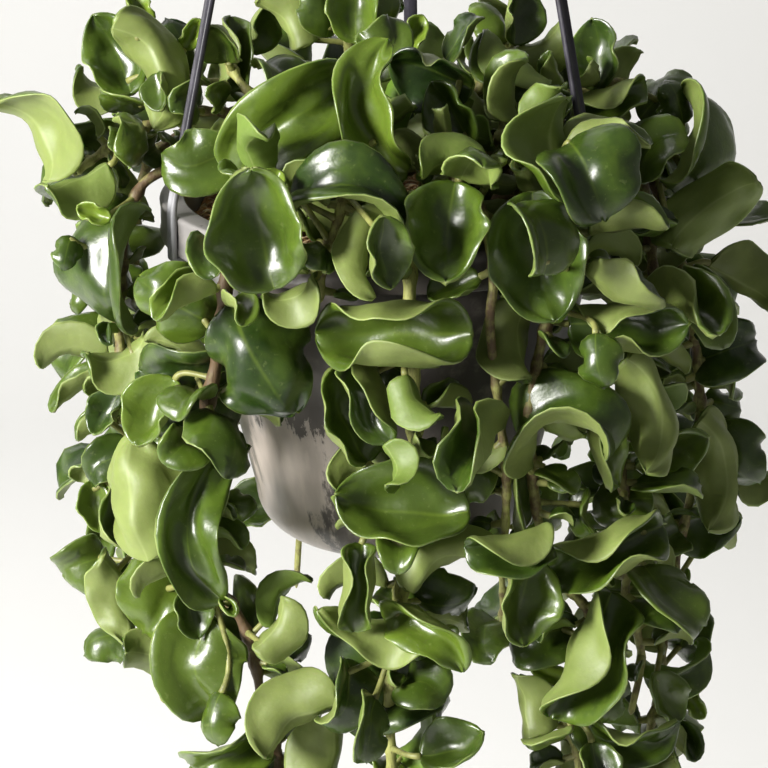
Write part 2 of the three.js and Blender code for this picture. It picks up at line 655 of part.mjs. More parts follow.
// Section of one blade at u: 2 * HALF_STEPS + 1 points from the right margin to the left
function bladeSection(length, form, table, u) {
  const at = Math.min(Math.floor(u * MIDRIB_STEPS + 1e-9), MIDRIB_STEPS - 1);
  const centre = table[at].clone().lerp(table[at + 1], u * MIDRIB_STEPS - at);
  const { across, out } = midribAxes(form, u);
  const wide = halfWidth(length, form, u);
  const share = wide / ((length * form[0]) / 2);
  const sides = [0, 1].map((k) => {
    const wave = form[11] * RAD * Math.sin(2 * Math.PI * MARGIN_WAVES * u + WAVE_START[k]);
    const points = [centre.clone()];
    for (let i = 0; i < HALF_STEPS; i++) {
      const v = (i + 0.5) / HALF_STEPS;
      const fold = form[1 + k] * RAD * Math.min(v / FOLD_REACH, 1) ** FOLD_EASE;
      const flare = form[5 + k] * RAD * v ** 3 + wave * v ** 2;
      const angle = (fold + form[3 + k] * RAD * v) * share ** BOWL + flare * share ** RIM_BOWL;
      const next = points[i].clone();
      next.addScaledVector(across, ((k === 0 ? 1 : -1) * wide * Math.cos(angle)) / HALF_STEPS);
      next.addScaledVector(out, (wide * Math.sin(angle)) / HALF_STEPS);
      points.push(next);
    }
    return points;
  });
  return [...sides[1].slice(1).reverse(), ...sides[0]];
}

// Sample points for keeping leaves apart
const SAMPLE_ROWS = 13;
const SAMPLE_SKIP = 2;

function bladeSamples(length, form) {
  const table = midribTable(length, form);
  const rows = [];
  for (let i = 1; i <= SAMPLE_ROWS; i++) {
    const section = bladeSection(length, form, table, i / (SAMPLE_ROWS + 1));
    rows.push(section.filter((_, j) => j % SAMPLE_SKIP === 0));
  }
  return rows.flat();
}

// A leaf set in place: along, across and out are its axes, and centre is where the mean of its
// sample points goes, or base is where its midrib starts
function setLeaf(stem, length, form, along, out, { centre, base }) {
  const across = out.clone().cross(along);
  const turn = new THREE.Matrix4().makeBasis(along, across, out);
  const samples = bladeSamples(length, form);
  const mean = samples.reduce((sum, p) => sum.add(p), vec(0, 0, 0)).divideScalar(samples.length);
  if (centre) base = centre.clone().sub(mean.clone().applyMatrix4(turn));
  turn.setPosition(base);
  samples.forEach((p) => p.applyMatrix4(turn));
  const middle = samples.reduce((sum, p) => sum.add(p), vec(0, 0, 0)).divideScalar(samples.length);
  const table = midribTable(length, form);
  const start = table[1].clone().transformDirection(turn);
  const reach = Math.max(...samples.map((p) => p.distanceTo(middle)));
  return { stem, length, form, turn, base, start, samples, middle, reach };
}

// Clearances in mm: leaf to leaf of another stem and of its own, stem, petiole, arm and pot
const APART = {
  other: 3.3,
  own: 2.4,
  ownFill: 2.8,
  stem: 1.9,
  ownStem: 2.2,
  ownStalk: 2.4,
  stalk: 3.2,
  stalks: 3.6,
  arm: 4.6,
  pot: 2,
};

function nearerThan(limit, a, b) {
  const square = limit * limit;
  return a.some((p) => b.some((q) => p.distanceToSquared(q) < square));
}

// Outermost radius of the pot at a height
function potReach(z) {
  if (z > 1.5) return 0;
  if (z > -19) return RIM_RADIUS;
  if (z > -151) return 59.5 + 32 * Math.min(Math.max((z + 151) / 134.3, 0), 1) ** 0.8;
  return 60;
}

function clearOfPot(samples) {
  return samples.every(({ x, y, z }) => {
    const r = Math.hypot(x, y);
    return r > potReach(z) + APART.pot || (r < 88 && z > SOIL_TOP + APART.pot);
  });
}

const ARM_LINES = Object.values(ARM_ANGLES).flatMap((angle) => {
  const [s, c] = [Math.sin(angle * RAD), -Math.cos(angle * RAD)];
  const [low, rim] = [-20, 0].map((z) => vec(103 * s, 103 * c, z));
  const hub = vec(4 * s, 4 * c, HUB_HEIGHT);
  return [new THREE.Line3(low, rim), new THREE.Line3(rim, hub)];
});

function clearOfArms(samples) {
  const nearest = vec(0, 0, 0);
  return ARM_LINES.every((line) => samples.every((p) => {
    line.closestPointToPoint(p, true, nearest);
    return nearest.distanceTo(p) >= APART.arm;
  }));
}

const STEM_POINTS = 120;

function stemCurve({ root, arch, hang }) {
  const rise = [ROOT_DEPTH, -17, -5, 6].map((z) => vec(root[0], root[1], z));
  const points = [...rise, ...arch.map((p) => vec(...p)), ...hang.map((p) => seen(...p))];
  return new THREE.CatmullRomCurve3(points, false, "catmullrom", 0.5);
}

const stemPaths = Object.fromEntries(
  Object.entries(STEMS).map(([name, stem]) => [name, stemCurve(stem).getPoints(STEM_POINTS)]),
);

// A petiole leaves the point of its leaf's stem nearest to the blade, or one a little further along
// or back where it would run into a leaf of the same stem, and ends along the midrib
const ROOT_SHIFTS = [0, -4, 4, -8, 8, -12, 12, -17, 17];
const FREE_FROM = 19;

function setPetiole(leaf, root) {
  const handle = root.distanceTo(leaf.base) * 0.38;
  const leaving = root.clone().lerp(leaf.base, 0.25);
  const arriving = leaf.base.clone().addScaledVector(leaf.start, -handle);
  leaf.petiole = new THREE.CubicBezierCurve3(root, leaving, arriving, leaf.base).getPoints(8);
  leaf.guard = [...leaf.petiole, ...[2, 3, 4, 5, 6].map((i) => root.clone().lerp(leaf.base, i / 8))];
}

function nearestFree(leaf) {
  const path = stemPaths[leaf.stem];
  const target = leaf.base.clone().addScaledVector(leaf.start, -4);
  let nearest = FREE_FROM;
  for (let i = FREE_FROM; i <= STEM_POINTS; i++) {
    if (path[i].distanceToSquared(target) < path[nearest].distanceToSquared(target)) nearest = i;
  }
  return nearest;
}

function addPetiole(leaf, placed) {
  const path = stemPaths[leaf.stem];
  const nearest = nearestFree(leaf);
  const own = placed.filter((other) => other.stem === leaf.stem
    && other.middle.distanceTo(leaf.base) < other.reach + 40);
  setPetiole(leaf, path[nearest]);
  for (const shift of ROOT_SHIFTS) {
    const root = path[Math.min(Math.max(nearest + shift, FREE_FROM), STEM_POINTS)];
    const line = [2, 3, 4, 5, 6].map((i) => root.clone().lerp(leaf.base, i / 8));
    if (!own.some((other) => nearerThan(APART.ownStalk, line, other.samples))) {
      setPetiole(leaf, root);
      return;
    }
  }
}

function fits(leaf, placed, ownGap) {
  if (!clearOfPot(leaf.samples) || !clearOfArms(leaf.samples)) return false;
  for (const [name, path] of Object.entries(stemPaths)) {
    const near = path.filter((p) => p.distanceTo(leaf.middle) < leaf.reach + 5);
    if (name === leaf.stem) {
      const outerPart = leaf.samples.slice((5 * leaf.samples.length) / SAMPLE_ROWS);
      if (nearerThan(APART.ownStem, outerPart, near)) return false;
    } else if (nearerThan(STEM_RADIUS + APART.stem, leaf.samples, near)) return false;
  }
  return placed.every((other) => {
    if (other.middle.distanceTo(leaf.middle) > other.reach + leaf.reach + 4) return true;
    const own = other.stem === leaf.stem;
    if (nearerThan(own ? ownGap : APART.other, leaf.samples, other.samples)) return false;
    return own || !(nearerThan(APART.stalk, leaf.samples, other.guard)
      || nearerThan(APART.stalk, leaf.guard, other.samples)
      || nearerThan(APART.stalks, leaf.guard, other.guard));
  });
}

// Changes tried in turn where a hand-placed leaf would touch something: depth, pitch, roll and scale
const TRIES = [[0, 0, 0, 1], ...[-4, 4, -8, 8, -12, 12].map((depth) => [depth, 0, 0, 1])];
for (const scale of [0.9, 0.8]) {
  for (const [pitch, roll] of [[20, 0], [-20, 0], [0, 25], [0, -25]]) {
    for (const depth of [0, -6, 6, -12, 12, -18, 18]) TRIES.push([depth, pitch, roll, scale]);
  }
}

// The viewer's axes, which heading, pitch and roll are measured in
const TOWARDS = vec(0, -Math.cos(VIEW.tilt), Math.sin(VIEW.tilt));
const UPWARDS = vec(0, Math.sin(VIEW.tilt), Math.cos(VIEW.tilt));

// The same form with its midrib run the other way, for a blade whose tip would be nearer its stem
const TURN_GAIN = 4;

function endForEnd([ratio, fold, foldB, curl, curlB, flare, flareB, bend, hook, twist, skew, wave, blunt]) {
  return [ratio, foldB, fold, curlB, curl, flareB, flare, bend, hook, twist, -skew, wave, blunt];
}

function handLeaf(stem, row, change, placed) {
  const [x, z, y, heading, pitch, roll, length, form] = row;
  const [depth, nod, turn, scale] = change;
  const [h, p, r] = [heading * RAD, (pitch + nod) * RAD, (roll + turn) * RAD];
  const along = vec(Math.cos(h), 0, 0).addScaledVector(UPWARDS, Math.sin(h)).multiplyScalar(Math.cos(p));
  along.addScaledVector(TOWARDS, Math.sin(p));
  const facing = TOWARDS.clone().addScaledVector(along, -TOWARDS.dot(along)).normalize();
  const side = along.clone().cross(facing);
  const out = facing.multiplyScalar(Math.cos(r)).addScaledVector(side, Math.sin(r));
  const centre = seen(x, z, y + depth);
  const ways = [setLeaf(stem, length * scale, FORMS[form], along, out, { centre })];
  ways.push(setLeaf(stem, length * scale, endForEnd(FORMS[form]), along.negate(), out, { centre }));
  const [there, back] = ways.map((way) => stemPaths[stem][nearestFree(way)].distanceTo(way.base));
  const leaf = ways[back + TURN_GAIN < there ? 1 : 0];
  addPetiole(leaf, placed);
  return leaf;
}

function placeHandLeaves(placed) {
  const rows = Object.entries(LEAVES).flatMap(([stem, list]) => list.map((row) => ({ stem, row })));
  rows.sort((a, b) => b.row[6] - a.row[6]);
  for (const { stem, row } of rows) {
    for (const change of TRIES) {
      const leaf = handLeaf(stem, row, change, placed);
      if (fits(leaf, placed, APART.own)) {
        placed.push(leaf);
        break;
      }
    }
  }
}

// Leaves between the hand-placed ones: pairs stand out of each stem, each pair a quarter turn from
// the last, with a spread of sizes and forms from multiples of irrational numbers
const FILL_STEP = 60;
const CROWN_STEP = 45;
const FILL_START = 40;
const FILL_FORMS = ["cup", "dome", "shell", "halfL", "flat", "pod", "halfR", "cres", "swirl", "shell"];
const SPREAD = [0.6180339887498949, 0.7548776662466927, 0.5698402909980532, 0.8191725133961645];

function fillLeaf(stem, at, tangent, azimuth, draws, length, form) {
  const side = tangent.clone().cross(vec(0, -1, 0.3)).normalize();
  const other = tangent.clone().cross(side);
  const along = side.multiplyScalar(Math.cos(azimuth)).addScaledVector(other, Math.sin(azimuth));
  along.addScaledVector(tangent, 0.35 * (draws[3] - 0.2));
  along.z += 0.25 * (tangent.z > -0.3 ? 1 : -0.4);
  along.normalize();
  let out = vec(0, -0.35, 0.35).sub(tangent);
  out.addScaledVector(along, -out.dot(along));
  if (out.length() < 0.2) out = vec(0, 0, 1).addScaledVector(along, -along.z);
  out.normalize();
  const roll = (draws[1] - 0.5) * 80 * RAD;
  const turned = out.clone().multiplyScalar(Math.cos(roll));
  turned.addScaledVector(along.clone().cross(out), Math.sin(roll));
  const base = at.clone().addScaledVector(along, 6);
  const leaf = setLeaf(stem, length, form, along, turned, { base });
  leaf.petiole = Array.from({ length: 9 }, (_, i) => at.clone().lerp(base, i / 8));
  leaf.guard = leaf.petiole;
  leaf.rule = true;
  return leaf;
}

// Parts of the view, in mm on the viewer's plane (left, right, bottom and top), that the rule leaves
// open: soil and strap at the left, the lit and the shaded side of the pot, and the gaps below it.
// Leaves further back than OPEN_BEFORE stay.
const OPEN_VIEWS = [
  [-102, -78, -31, 7],
  [-64, -26, -158, -105],
  [26, 52, -110, -57],
  [-64, -30, -194, -160],
  [22, 54, -260, -174],
  [141, 165, -260, -163],
];
const OPEN_BEFORE = 20;

// True if the middle of the leaf would stand in front of a part left open
function hides({ middle: { x, y, z } }) {
  const depth = 1 + y / VIEW.distance;
  const across = (x + (VIEW.x * y) / VIEW.distance) / depth;
  const up = (z + (VIEW.height * y) / VIEW.distance) / depth;
  const inFront = ([left, right, low, top]) => left < across && across < right && low < up && up < top;
  return y < OPEN_BEFORE && OPEN_VIEWS.some(inFront);
}

function placeFillLeaves(placed) {
  let count = 0;
  for (const [stem, path] of Object.entries(stemPaths)) {
    const arc = [0];
    path.slice(1).forEach((p, i) => arc.push(arc[i] + p.distanceTo(path[i])));
    const step = stem.startsWith("crown") ? CROWN_STEP : FILL_STEP;
    for (let pair = 0, at = FILL_START; at < arc[STEM_POINTS] - 2; pair++, at += step) {
      const i = Math.min(Math.max(arc.findIndex((a) => a >= at), 1), STEM_POINTS - 1);
      const tangent = path[i + 1].clone().sub(path[i - 1]).normalize();
      for (const side of [0, 1]) {
        count++;
        const draws = SPREAD.map((s) => ((count + 1) * s) % 1);
        const form = FORMS[FILL_FORMS[Math.floor(draws[1] * FILL_FORMS.length)]];
        const choices = [1, 0.78, 0.6].flatMap((scale) => [0, 40, -40, 80, -80].map((turn) => [scale, turn]));
        for (const [scale, turn] of choices) {
          const azimuth = (90 * pair + 180 * side + 40 * (draws[2] - 0.5) + turn) * RAD;
          const leaf = fillLeaf(stem, path[i], tangent, azimuth, draws, (24 + 22 * draws[0]) * scale, form);
          if (!hides(leaf) && fits(leaf, placed, APART.ownFill)) {
            placed.push(leaf);
            break;
          }
        }
      }
    }
  }
}

// Solid of a leaf: a point sunk in its stem, a three-sided petiole, then sections of the blade whose two
// faces share the margin, then the tip. Ring points run from the right margin over the glossy face
// to the left margin and back underneath
const LONG_LEAF = 52;
const MIDDLE_LEAF = 36;
const SHORT_LEAF = 28;
const BLADE_RINGS = {
  long: { rows: [4, 9, 15, 20], sides: 8 },
  middle: { rows: [5, 12, 19], sides: 6 },
  short: { rows: [5, 12, 19], sides: 4 },
  small: { rows: [7, 17], sides: 4 },
};
const PETIOLE_CORNERS = [[-1, 0.6], [1, 0.6], [0, -1.1]];
const PETIOLE_SUNK = 1.1;
const PETIOLE_FOOT = 3.6;
const LONG_PETIOLE = 20;
const ACROSS_STEM = 0.35;
const EASED_MOST = 82;

// Corners round a petiole, in the blade's own axes turned from its midrib's start to the petiole
function petioleRing(leaf, centre, along) {
  const turn = new THREE.Quaternion().setFromUnitVectors(leaf.start, along);
  const up = midribAxes(leaf.form, 0).out.transformDirection(leaf.turn).applyQuaternion(turn);
  const across = up.clone().cross(along).normalize();
  return PETIOLE_CORNERS.map(([a, b]) => centre.clone()
    .addScaledVector(across, a * PETIOLE_HALF_WIDTH)
    .addScaledVector(up, b * PETIOLE_HALF_WIDTH));
}

function bladeRing(leaf, table, row, sides) {
  const { length, form, turn } = leaf;
  const [before, section, after] = [row - 1, row, row + 1]
    .map((r) => bladeSection(length, form, table, r / MIDRIB_STEPS));
  const face = (j, side) => {
    const lengthwise = after[j].clone().sub(before[j]);
    const crosswise = section[j + 1].clone().sub(section[j - 1]);
    const normal = lengthwise.cross(crosswise).normalize();
    return section[j].clone().addScaledVector(normal, (side * BLADE_THICKNESS) / 2);
  };
  const across = section.length - 1;
  const ring = [];
  for (let i = 0; i < sides; i++) {
    const j = (i <= sides / 2 ? i : sides - i) * (across / (sides / 2));
    if (j === 0 || j === across) ring.push(section[j].clone());
    else ring.push(face(j, i < sides / 2 ? 1 : -1));
  }
  return ring.map((p) => p.applyMatrix4(turn));
}

// Triangles between two rings of as many points, split alike on the two faces of the blade
function joinRings(first, next, sides) {
  const faces = [];
  for (let i = 0; i < sides; i++) {
    const [a, b] = [first + i, first + ((i + 1) % sides)];
    const [c, d] = [next + i, next + ((i + 1) % sides)];
    if (i < sides / 2) faces.push([a, b, d], [a, d, c]);
    else faces.push([a, b, c], [b, d, c]);
  }
  return faces;
}

// Triangles from the petiole's three corners to the points of the first section
function joinPetiole(first, next, sides) {
  const faces = [];
  const meets = [0, sides / 2, Math.ceil((3 * sides) / 4), sides];
  for (let k = 0; k < 3; k++) {
    const [a, b] = [first + k, first + ((k + 1) % 3)];
    const middle = Math.ceil((meets[k] + meets[k + 1]) / 2);
    for (let i = meets[k]; i < meets[k + 1]; i++) {
      faces.push([i < middle ? a : b, next + ((i + 1) % sides), next + i]);
    }
    faces.push([a, b, next + (middle % sides)]);
  }
  return faces;
}

// Nearest point of a row of straight pieces to a target
function nearestOn(points, target) {
  const line = new THREE.Line3();
  return points.slice(1).map((end, i) => {
    line.set(points[i], end);
    return line.closestPointToPoint(target, true, vec(0, 0, 0));
  }).reduce((best, p) => (p.distanceToSquared(target) < best.distanceToSquared(target) ? p : best));
}

function bladeSize({ length, rule }) {
  if (rule || length < SHORT_LEAF) return "small";
  if (length < MIDDLE_LEAF) return "short";
  return length < LONG_LEAF ? "middle" : "long";
}

function closedSolid(points, faces) {
  const geometry = new THREE.BufferGeometry().setFromPoints(points);
  geometry.setIndex(faces.flat());
  const solid = solidOf(geometry);
  if (solid.volume() > 0) return solid;
  geometry.setIndex(faces.map(([a, b, c]) => [a, c, b]).flat());
  return solidOf(geometry);
}

// A blade of few sides is folded and curled less, so that its two halves stay apart
function easedForm(form, sides) {
  if (sides === BLADE_RINGS.long.sides) return form;
  const eased = [...form];
  for (const [fold, curl] of [[1, 3], [2, 4]]) {
    const share = Math.min(1, EASED_MOST / (Math.abs(form[fold]) + Math.abs(form[curl])));
    eased[fold] *= share;
    eased[curl] *= share;
  }
  return eased;
}

const ROOT_FACES = [[0, 2, 1], [0, 3, 2], [0, 1, 3]];

// Stalk of a blade that lies across its stem: from the stem to the nearest point of the midrib
function stalkSolid(leaf, from, to) {
  const along = to.clone().sub(from).normalize();
  const end = Math.min(PETIOLE_FOOT, from.distanceTo(to) * 0.4);
  const points = [
    from.clone().addScaledVector(along, -PETIOLE_SUNK),
    ...petioleRing(leaf, from.clone().addScaledVector(along, end), along),
    ...petioleRing(leaf, to.clone().addScaledVector(along, -end * 0.6), along),
    to.clone().addScaledVector(along, BLADE_THICKNESS * 0.2),
  ];
  return closedSolid(points, [...ROOT_FACES, ...joinRings(1, 4, 3), [4, 5, 7], [5, 6, 7], [6, 4, 7]]);
}

function leafSolid(leaf, stemCentres) {
  const { length, turn, base, start } = leaf;
  const { rows, sides } = BLADE_RINGS[bladeSize(leaf)];
  const shape = { ...leaf, form: easedForm(leaf.form, sides) };
  const table = midribTable(length, shape.form);
  const from = nearestOn(stemCentres, leaf.petiole[0]);
  const stalk = base.clone().sub(from);
  const reach = stalk.length();
  stalk.divideScalar(reach);
  const across = stalk.dot(start) < ACROSS_STEM;
  const points = [];
  const faces = [];
  if (across) {
    points.push(base);
    for (let i = 0; i < sides; i++) faces.push([0, 1 + ((i + 1) % sides), 1 + i]);
  } else {
    const foot = from.clone().addScaledVector(stalk, Math.min(PETIOLE_FOOT, reach));
    const rings = [petioleRing(leaf, foot, stalk)];
    if (reach > LONG_PETIOLE) rings.push(petioleRing(leaf, base, start));
    points.push(from.clone().addScaledVector(stalk, -PETIOLE_SUNK), ...rings.flat());
    faces.push(...ROOT_FACES);
    if (rings.length > 1) faces.push(...joinRings(1, 4, 3));
    faces.push(...joinPetiole(points.length - 3, points.length, sides));
  }
  let first = points.length;
  rows.forEach((row, k) => {
    points.push(...bladeRing(shape, table, row, sides));
    if (k > 0) {
      faces.push(...joinRings(first, first + sides, sides));
      first += sides;
    }
  });
  const tip = points.length;
  points.push(table[MIDRIB_STEPS].clone().applyMatrix4(turn));
  for (let i = 0; i < sides; i++) faces.push([first + i, first + ((i + 1) % sides), tip]);
  const blade = closedSolid(points, faces);
  if (!across) return blade;
  const meets = rows.map((row) => table[row].clone().applyMatrix4(turn));
  const to = meets.reduce((best, p) => (p.distanceTo(from) < best.distanceTo(from) ? p : best));
  return blade.add(stalkSolid(leaf, from, to));
}

// One leafy stem: the stem and its leaves joined in one body, without the smallest leaves
const SHORTEST_LEAF = 24;
const STEM_STEP = 24;
const LEAF_COLORS = [0x3f6b22, 0x47742a, 0x3a6420, 0x527a30, 0x446e28];

function buildStem(name, leaves, index) {
  const curve = stemCurve(STEMS[name]);
  const steps = Math.round(curve.getLength() / STEM_STEP);
  const centres = curve.getSpacedPoints(steps);
  let body = solidOf(rod(curve.points, STEM_RADIUS, STEM_SIDES, steps));
  for (const leaf of leaves) body = body.add(leafSolid(leaf, centres));
  return named("stem_" + name, outerSurface(body), LEAF_COLORS[index % LEAF_COLORS.length], 0.35);
}

const leaves = [];
placeHandLeaves(leaves);
placeFillLeaves(leaves);

const parts = new THREE.Group();
parts.name = "hanging_plant";
parts.add(buildPot(), buildSoil(), buildHub());
for (const [name, angle] of Object.entries(ARM_ANGLES)) parts.add(buildArm(name, angle));
Object.keys(STEMS).forEach((name, index) => {
  const own = leaves.filter((leaf) => leaf.stem === name && leaf.length >= SHORTEST_LEAF);
  parts.add(buildStem(name, own, index));
});
parts.position.z = -HANG_HEIGHT;

const plant = new THREE.Group();
plant.add(parts);
export default plant;
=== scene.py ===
"""Hindu rope plant, a curly-leaved wax plant, in a plastic hanging pot on a three-armed hanger."""

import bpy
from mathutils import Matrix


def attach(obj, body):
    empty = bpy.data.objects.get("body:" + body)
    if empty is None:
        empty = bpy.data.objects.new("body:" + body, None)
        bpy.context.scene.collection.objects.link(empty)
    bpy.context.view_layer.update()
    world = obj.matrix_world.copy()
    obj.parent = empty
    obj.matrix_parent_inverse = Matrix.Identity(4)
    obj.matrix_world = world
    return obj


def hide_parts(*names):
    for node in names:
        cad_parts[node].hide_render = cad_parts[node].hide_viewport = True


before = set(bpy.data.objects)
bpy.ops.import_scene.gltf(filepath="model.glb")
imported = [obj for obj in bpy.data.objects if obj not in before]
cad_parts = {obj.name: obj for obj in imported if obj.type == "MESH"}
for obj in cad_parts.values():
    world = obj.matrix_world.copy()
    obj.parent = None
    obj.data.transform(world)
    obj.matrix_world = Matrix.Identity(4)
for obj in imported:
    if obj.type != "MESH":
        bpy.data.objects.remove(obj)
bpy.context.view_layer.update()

import math
from collections import namedtuple

import bpy
import numpy as np
from mathutils import Vector

bl_info = {
    "name": "Hindu rope plant in a hanging pot",
    "version": (1, 0, 0),
    "blender": (4, 5, 0),
    "location": "3D View > Sidebar > Plant",
    "description": "A curly-leaved wax plant with its pot, soil, hanger and a plain stage",
    "category": "Object",
}

# Lengths below are millimetres, with the pot's rim at height 0, and the finished meshes are lowered
# so that the inside of the hook is the origin
HANG_HEIGHT = 479
MM = 0.001
RAD = math.pi / 180

# Leaf forms: width over length; fold, curl and flare of the left and the right half; then bend, hook
# and twist of the midrib, its sideways sweep, the margin's wave, and how blunt the tip is. Angles are
# in degrees.
Form = namedtuple("Form", "ratio fold_left fold_right curl_left curl_right flare_left flare_right "
    "bend hook twist sweep wave blunt")
FORMS = {
    "cup": [1.1, 48, 38, 62, 72, -56, -56, -46, -30, 10, 16, 18, 0.6],
    "dome": [0.94, -20, -36, -54, -50, 30, 40, 66, 56, 8, 12, 38, 0.72],
    "swirl": [0.92, -34, 62, -60, 60, 60, -70, 60, 50, 24, 40, 24, 0.68],
    "flat": [0.85, 52, 20, 44, 34, -80, -50, 84, 60, 20, 30, 26, 0.62],
    "shell": [1.0, 60, 34, 60, 56, -50, -40, 50, 30, -15, -30, 22, 0.62],
    "pod": [1.15, 84, 80, 68, 64, -50, -40, 10, 10, 0, 0, 14, 0.62],
    "lips": [1.25, 58, 50, 104, 112, -40, -30, -20, -20, 0, 0, 14, 0.6],
    "boat": [0.95, 48, 34, 56, 60, -60, -40, -40, -30, 0, 10, 14, 0.66],
    "halfL": [1.15, 90, -20, 50, -34, -110, 10, 70, 46, 20, 56, 22, 0.6],
    "halfR": [1.15, -20, 90, -34, 50, 10, -110, 70, 46, -20, -56, 22, 0.6],
    "wave": [0.7, 56, 40, 44, 24, -90, -50, 160, 70, 10, 20, 18, 0.6],
    "ribbon": [0.44, 64, 40, 44, 20, -100, -50, 176, 60, 10, 20, 10, 0.62],
    "ess": [0.4, 56, 30, 40, 60, -60, -60, 30, 40, 50, -130, 16, 0.8],
    "roll": [1.15, 78, 66, 104, 80, -50, -50, 20, 20, 15, 20, 14, 0.6],
    "cres": [0.66, 44, 84, 44, 66, -44, -90, 60, 0, 10, 100, 12, 0.7],
    "cresN": [0.66, 84, 44, 66, 44, -90, -44, 60, 0, -10, -100, 12, 0.7],
    "hook": [0.66, 60, 60, 40, 40, -54, -54, 130, 60, 0, 0, 10, 0.7],
    "young": [1.1, 56, 56, 66, 66, -40, -40, -50, -30, 0, 0, 0, 0.55],
    "strap": [0.56, 54, 34, 34, 26, -60, -40, 60, 60, 30, 50, 20, 0.6],
}
FORMS = {name: Form(*row) for name, row in FORMS.items()}

# Stems: where each rises from the soil, its way over the rim as true x, y, z, and the hanging
# part as seen x, seen height and depth
STEMS = {
    "front": {
        "root": [8, -50],
        "arch": [[8, -72, 16], [7, -97, 13], [7, -108, -6]],
        "hang": [[7, -58, -109], [9, -92, -107], [9, -125, -106], [5, -165, -105], [3, -190, -105],
            [-1, -224, -105], [-1, -262, -105], [2, -310, -104], [0, -345, -103]],
    },
    "left_front": {
        "root": [-40, -40],
        "arch": [[-50, -60, 16], [-60, -84, 12], [-66, -92, -8]],
        "hang": [[-76, -70, -90], [-84, -110, -88], [-88, -150, -86], [-83, -178, -86],
            [-70, -196, -88], [-63, -215, -88], [-60, -237, -88], [-56, -255, -88], [-50, -275, -88],
            [-44, -310, -88], [-42, -345, -88]],
    },
    "left_outer": {
        "root": [-62, -8],
        "arch": [[-84, -18, 16], [-104, -24, 10], [-112, -28, -8]],
        "hang": [[-118, -40, -30], [-119, -75, -34], [-114, -110, -38], [-111, -150, -42],
            [-112, -185, -45], [-108, -215, -48], [-104, -240, -50]],
    },
    "left_back": {
        "root": [-50, 30],
        "arch": [[-78, 36, 18], [-100, 36, 12], [-112, 38, -8], [-116, 40, -50], [-112, 42, -110],
            [-114, 40, -170]],
    },
    "right_front": {
        "root": [42, -42],
        "arch": [[54, -62, 16], [62, -82, 12], [67, -92, -8]],
        "hang": [[64, -70, -96], [60, -100, -100], [62, -135, -98], [68, -165, -96], [78, -182, -96],
            [88, -197, -96], [86, -222, -96], [78, -245, -96], [84, -265, -96], [88, -300, -96],
            [90, -340, -96]],
    },
    "centre_right": {
        "root": [28, -55],
        "arch": [[32, -74, 18], [36, -96, 13], [40, -104, -6]],
        "hang": [[42, -60, -106], [46, -95, -106], [50, -130, -104], [50, -160, -104],
            [54, -185, -104]],
    },
    "right_mid": {
        "root": [62, -26],
        "arch": [[80, -34, 18], [98, -38, 12], [106, -44, -8]],
        "hang": [[112, -50, -60], [104, -90, -75], [100, -125, -82], [108, -160, -82],
            [104, -185, -80], [112, -215, -74], [108, -245, -74]],
    },
    "right_outer": {
        "root": [64, 2],
        "arch": [[86, -4, 18], [106, -8, 12], [116, -12, -8]],
        "hang": [[128, -48, -24], [134, -90, -30], [133, -130, -34], [126, -170, -40],
            [122, -205, -44], [120, -235, -46], [116, -262, -46], [117, -300, -46]],
    },
    "right_back": {
        "root": [50, 34],
        "arch": [[78, 42, 18], [100, 42, 12], [110, 44, -8], [114, 46, -60], [110, 48, -120],
            [112, 46, -180]],
    },
    "back_left": {
        "root": [-24, 58],
        "arch": [[-34, 82, 18], [-42, 102, 12], [-46, 110, -8], [-48, 114, -70], [-44, 112, -150],
            [-48, 113, -230]],
    },
    "back_right": {
        "root": [26, 58],
        "arch": [[38, 82, 18], [48, 99, 12], [52, 106, -8], [54, 110, -70], [50, 110, -160],
            [54, 110, -250]],
    },
    "crown_left": {
        "root": [-46, -14],
        "arch": [[-62, -15, 34]],
        "hang": [[-90, 34, -10], [-116, 22, -10], [-136, 8, -10]],
    },
    "crown_upleft": {
        "root": [-36, 4],
        "arch": [[-58, 6, 40]],
        "hang": [[-92, 50, 5], [-110, 64, 5]],
    },
    "crown_midleft": {
        "root": [-28, -20],
        "arch": [[-42, -22, 34]],
        "hang": [[-62, 44, -20], [-70, 56, -12]],
    },
    "crown_centre": {
        "root": [-6, -32],
        "arch": [[-8, -54, 36], [-14, -86, 38], [-20, -104, 20]],
        "hang": [[-30, -32, -106], [-32, -50, -106]],
    },
    "crown_left_front": {
        "root": [-20, -42],
        "arch": [[-36, -66, 30], [-50, -88, 26], [-56, -98, 8]],
        "hang": [[-62, -38, -106]],
    },
    "crown_right_front": {
        "root": [30, -26],
        "arch": [[44, -50, 36], [60, -76, 34]],
        "hang": [[72, 2, -96], [78, -24, -104], [76, -48, -106]],
    },
    "crown_front_right": {
        "root": [12, -32],
        "arch": [[18, -60, 36], [24, -88, 32], [26, -104, 12]],
        "hang": [[27, -34, -108]],
    },
    "crown_top": {
        "root": [-10, 8],
        "arch": [[-14, 10, 40], [-20, 8, 66]],
    },
    "crown_topright": {
        "root": [18, 4],
        "arch": [[34, 6, 40], [52, 4, 62]],
    },
    "crown_right": {
        "root": [38, -6],
        "arch": [[60, -14, 36], [78, -18, 48], [96, -18, 52]],
    },
    "crown_far_right": {
        "root": [46, 12],
        "arch": [[76, 4, 32], [104, -6, 28], [126, -12, 12]],
    },
}

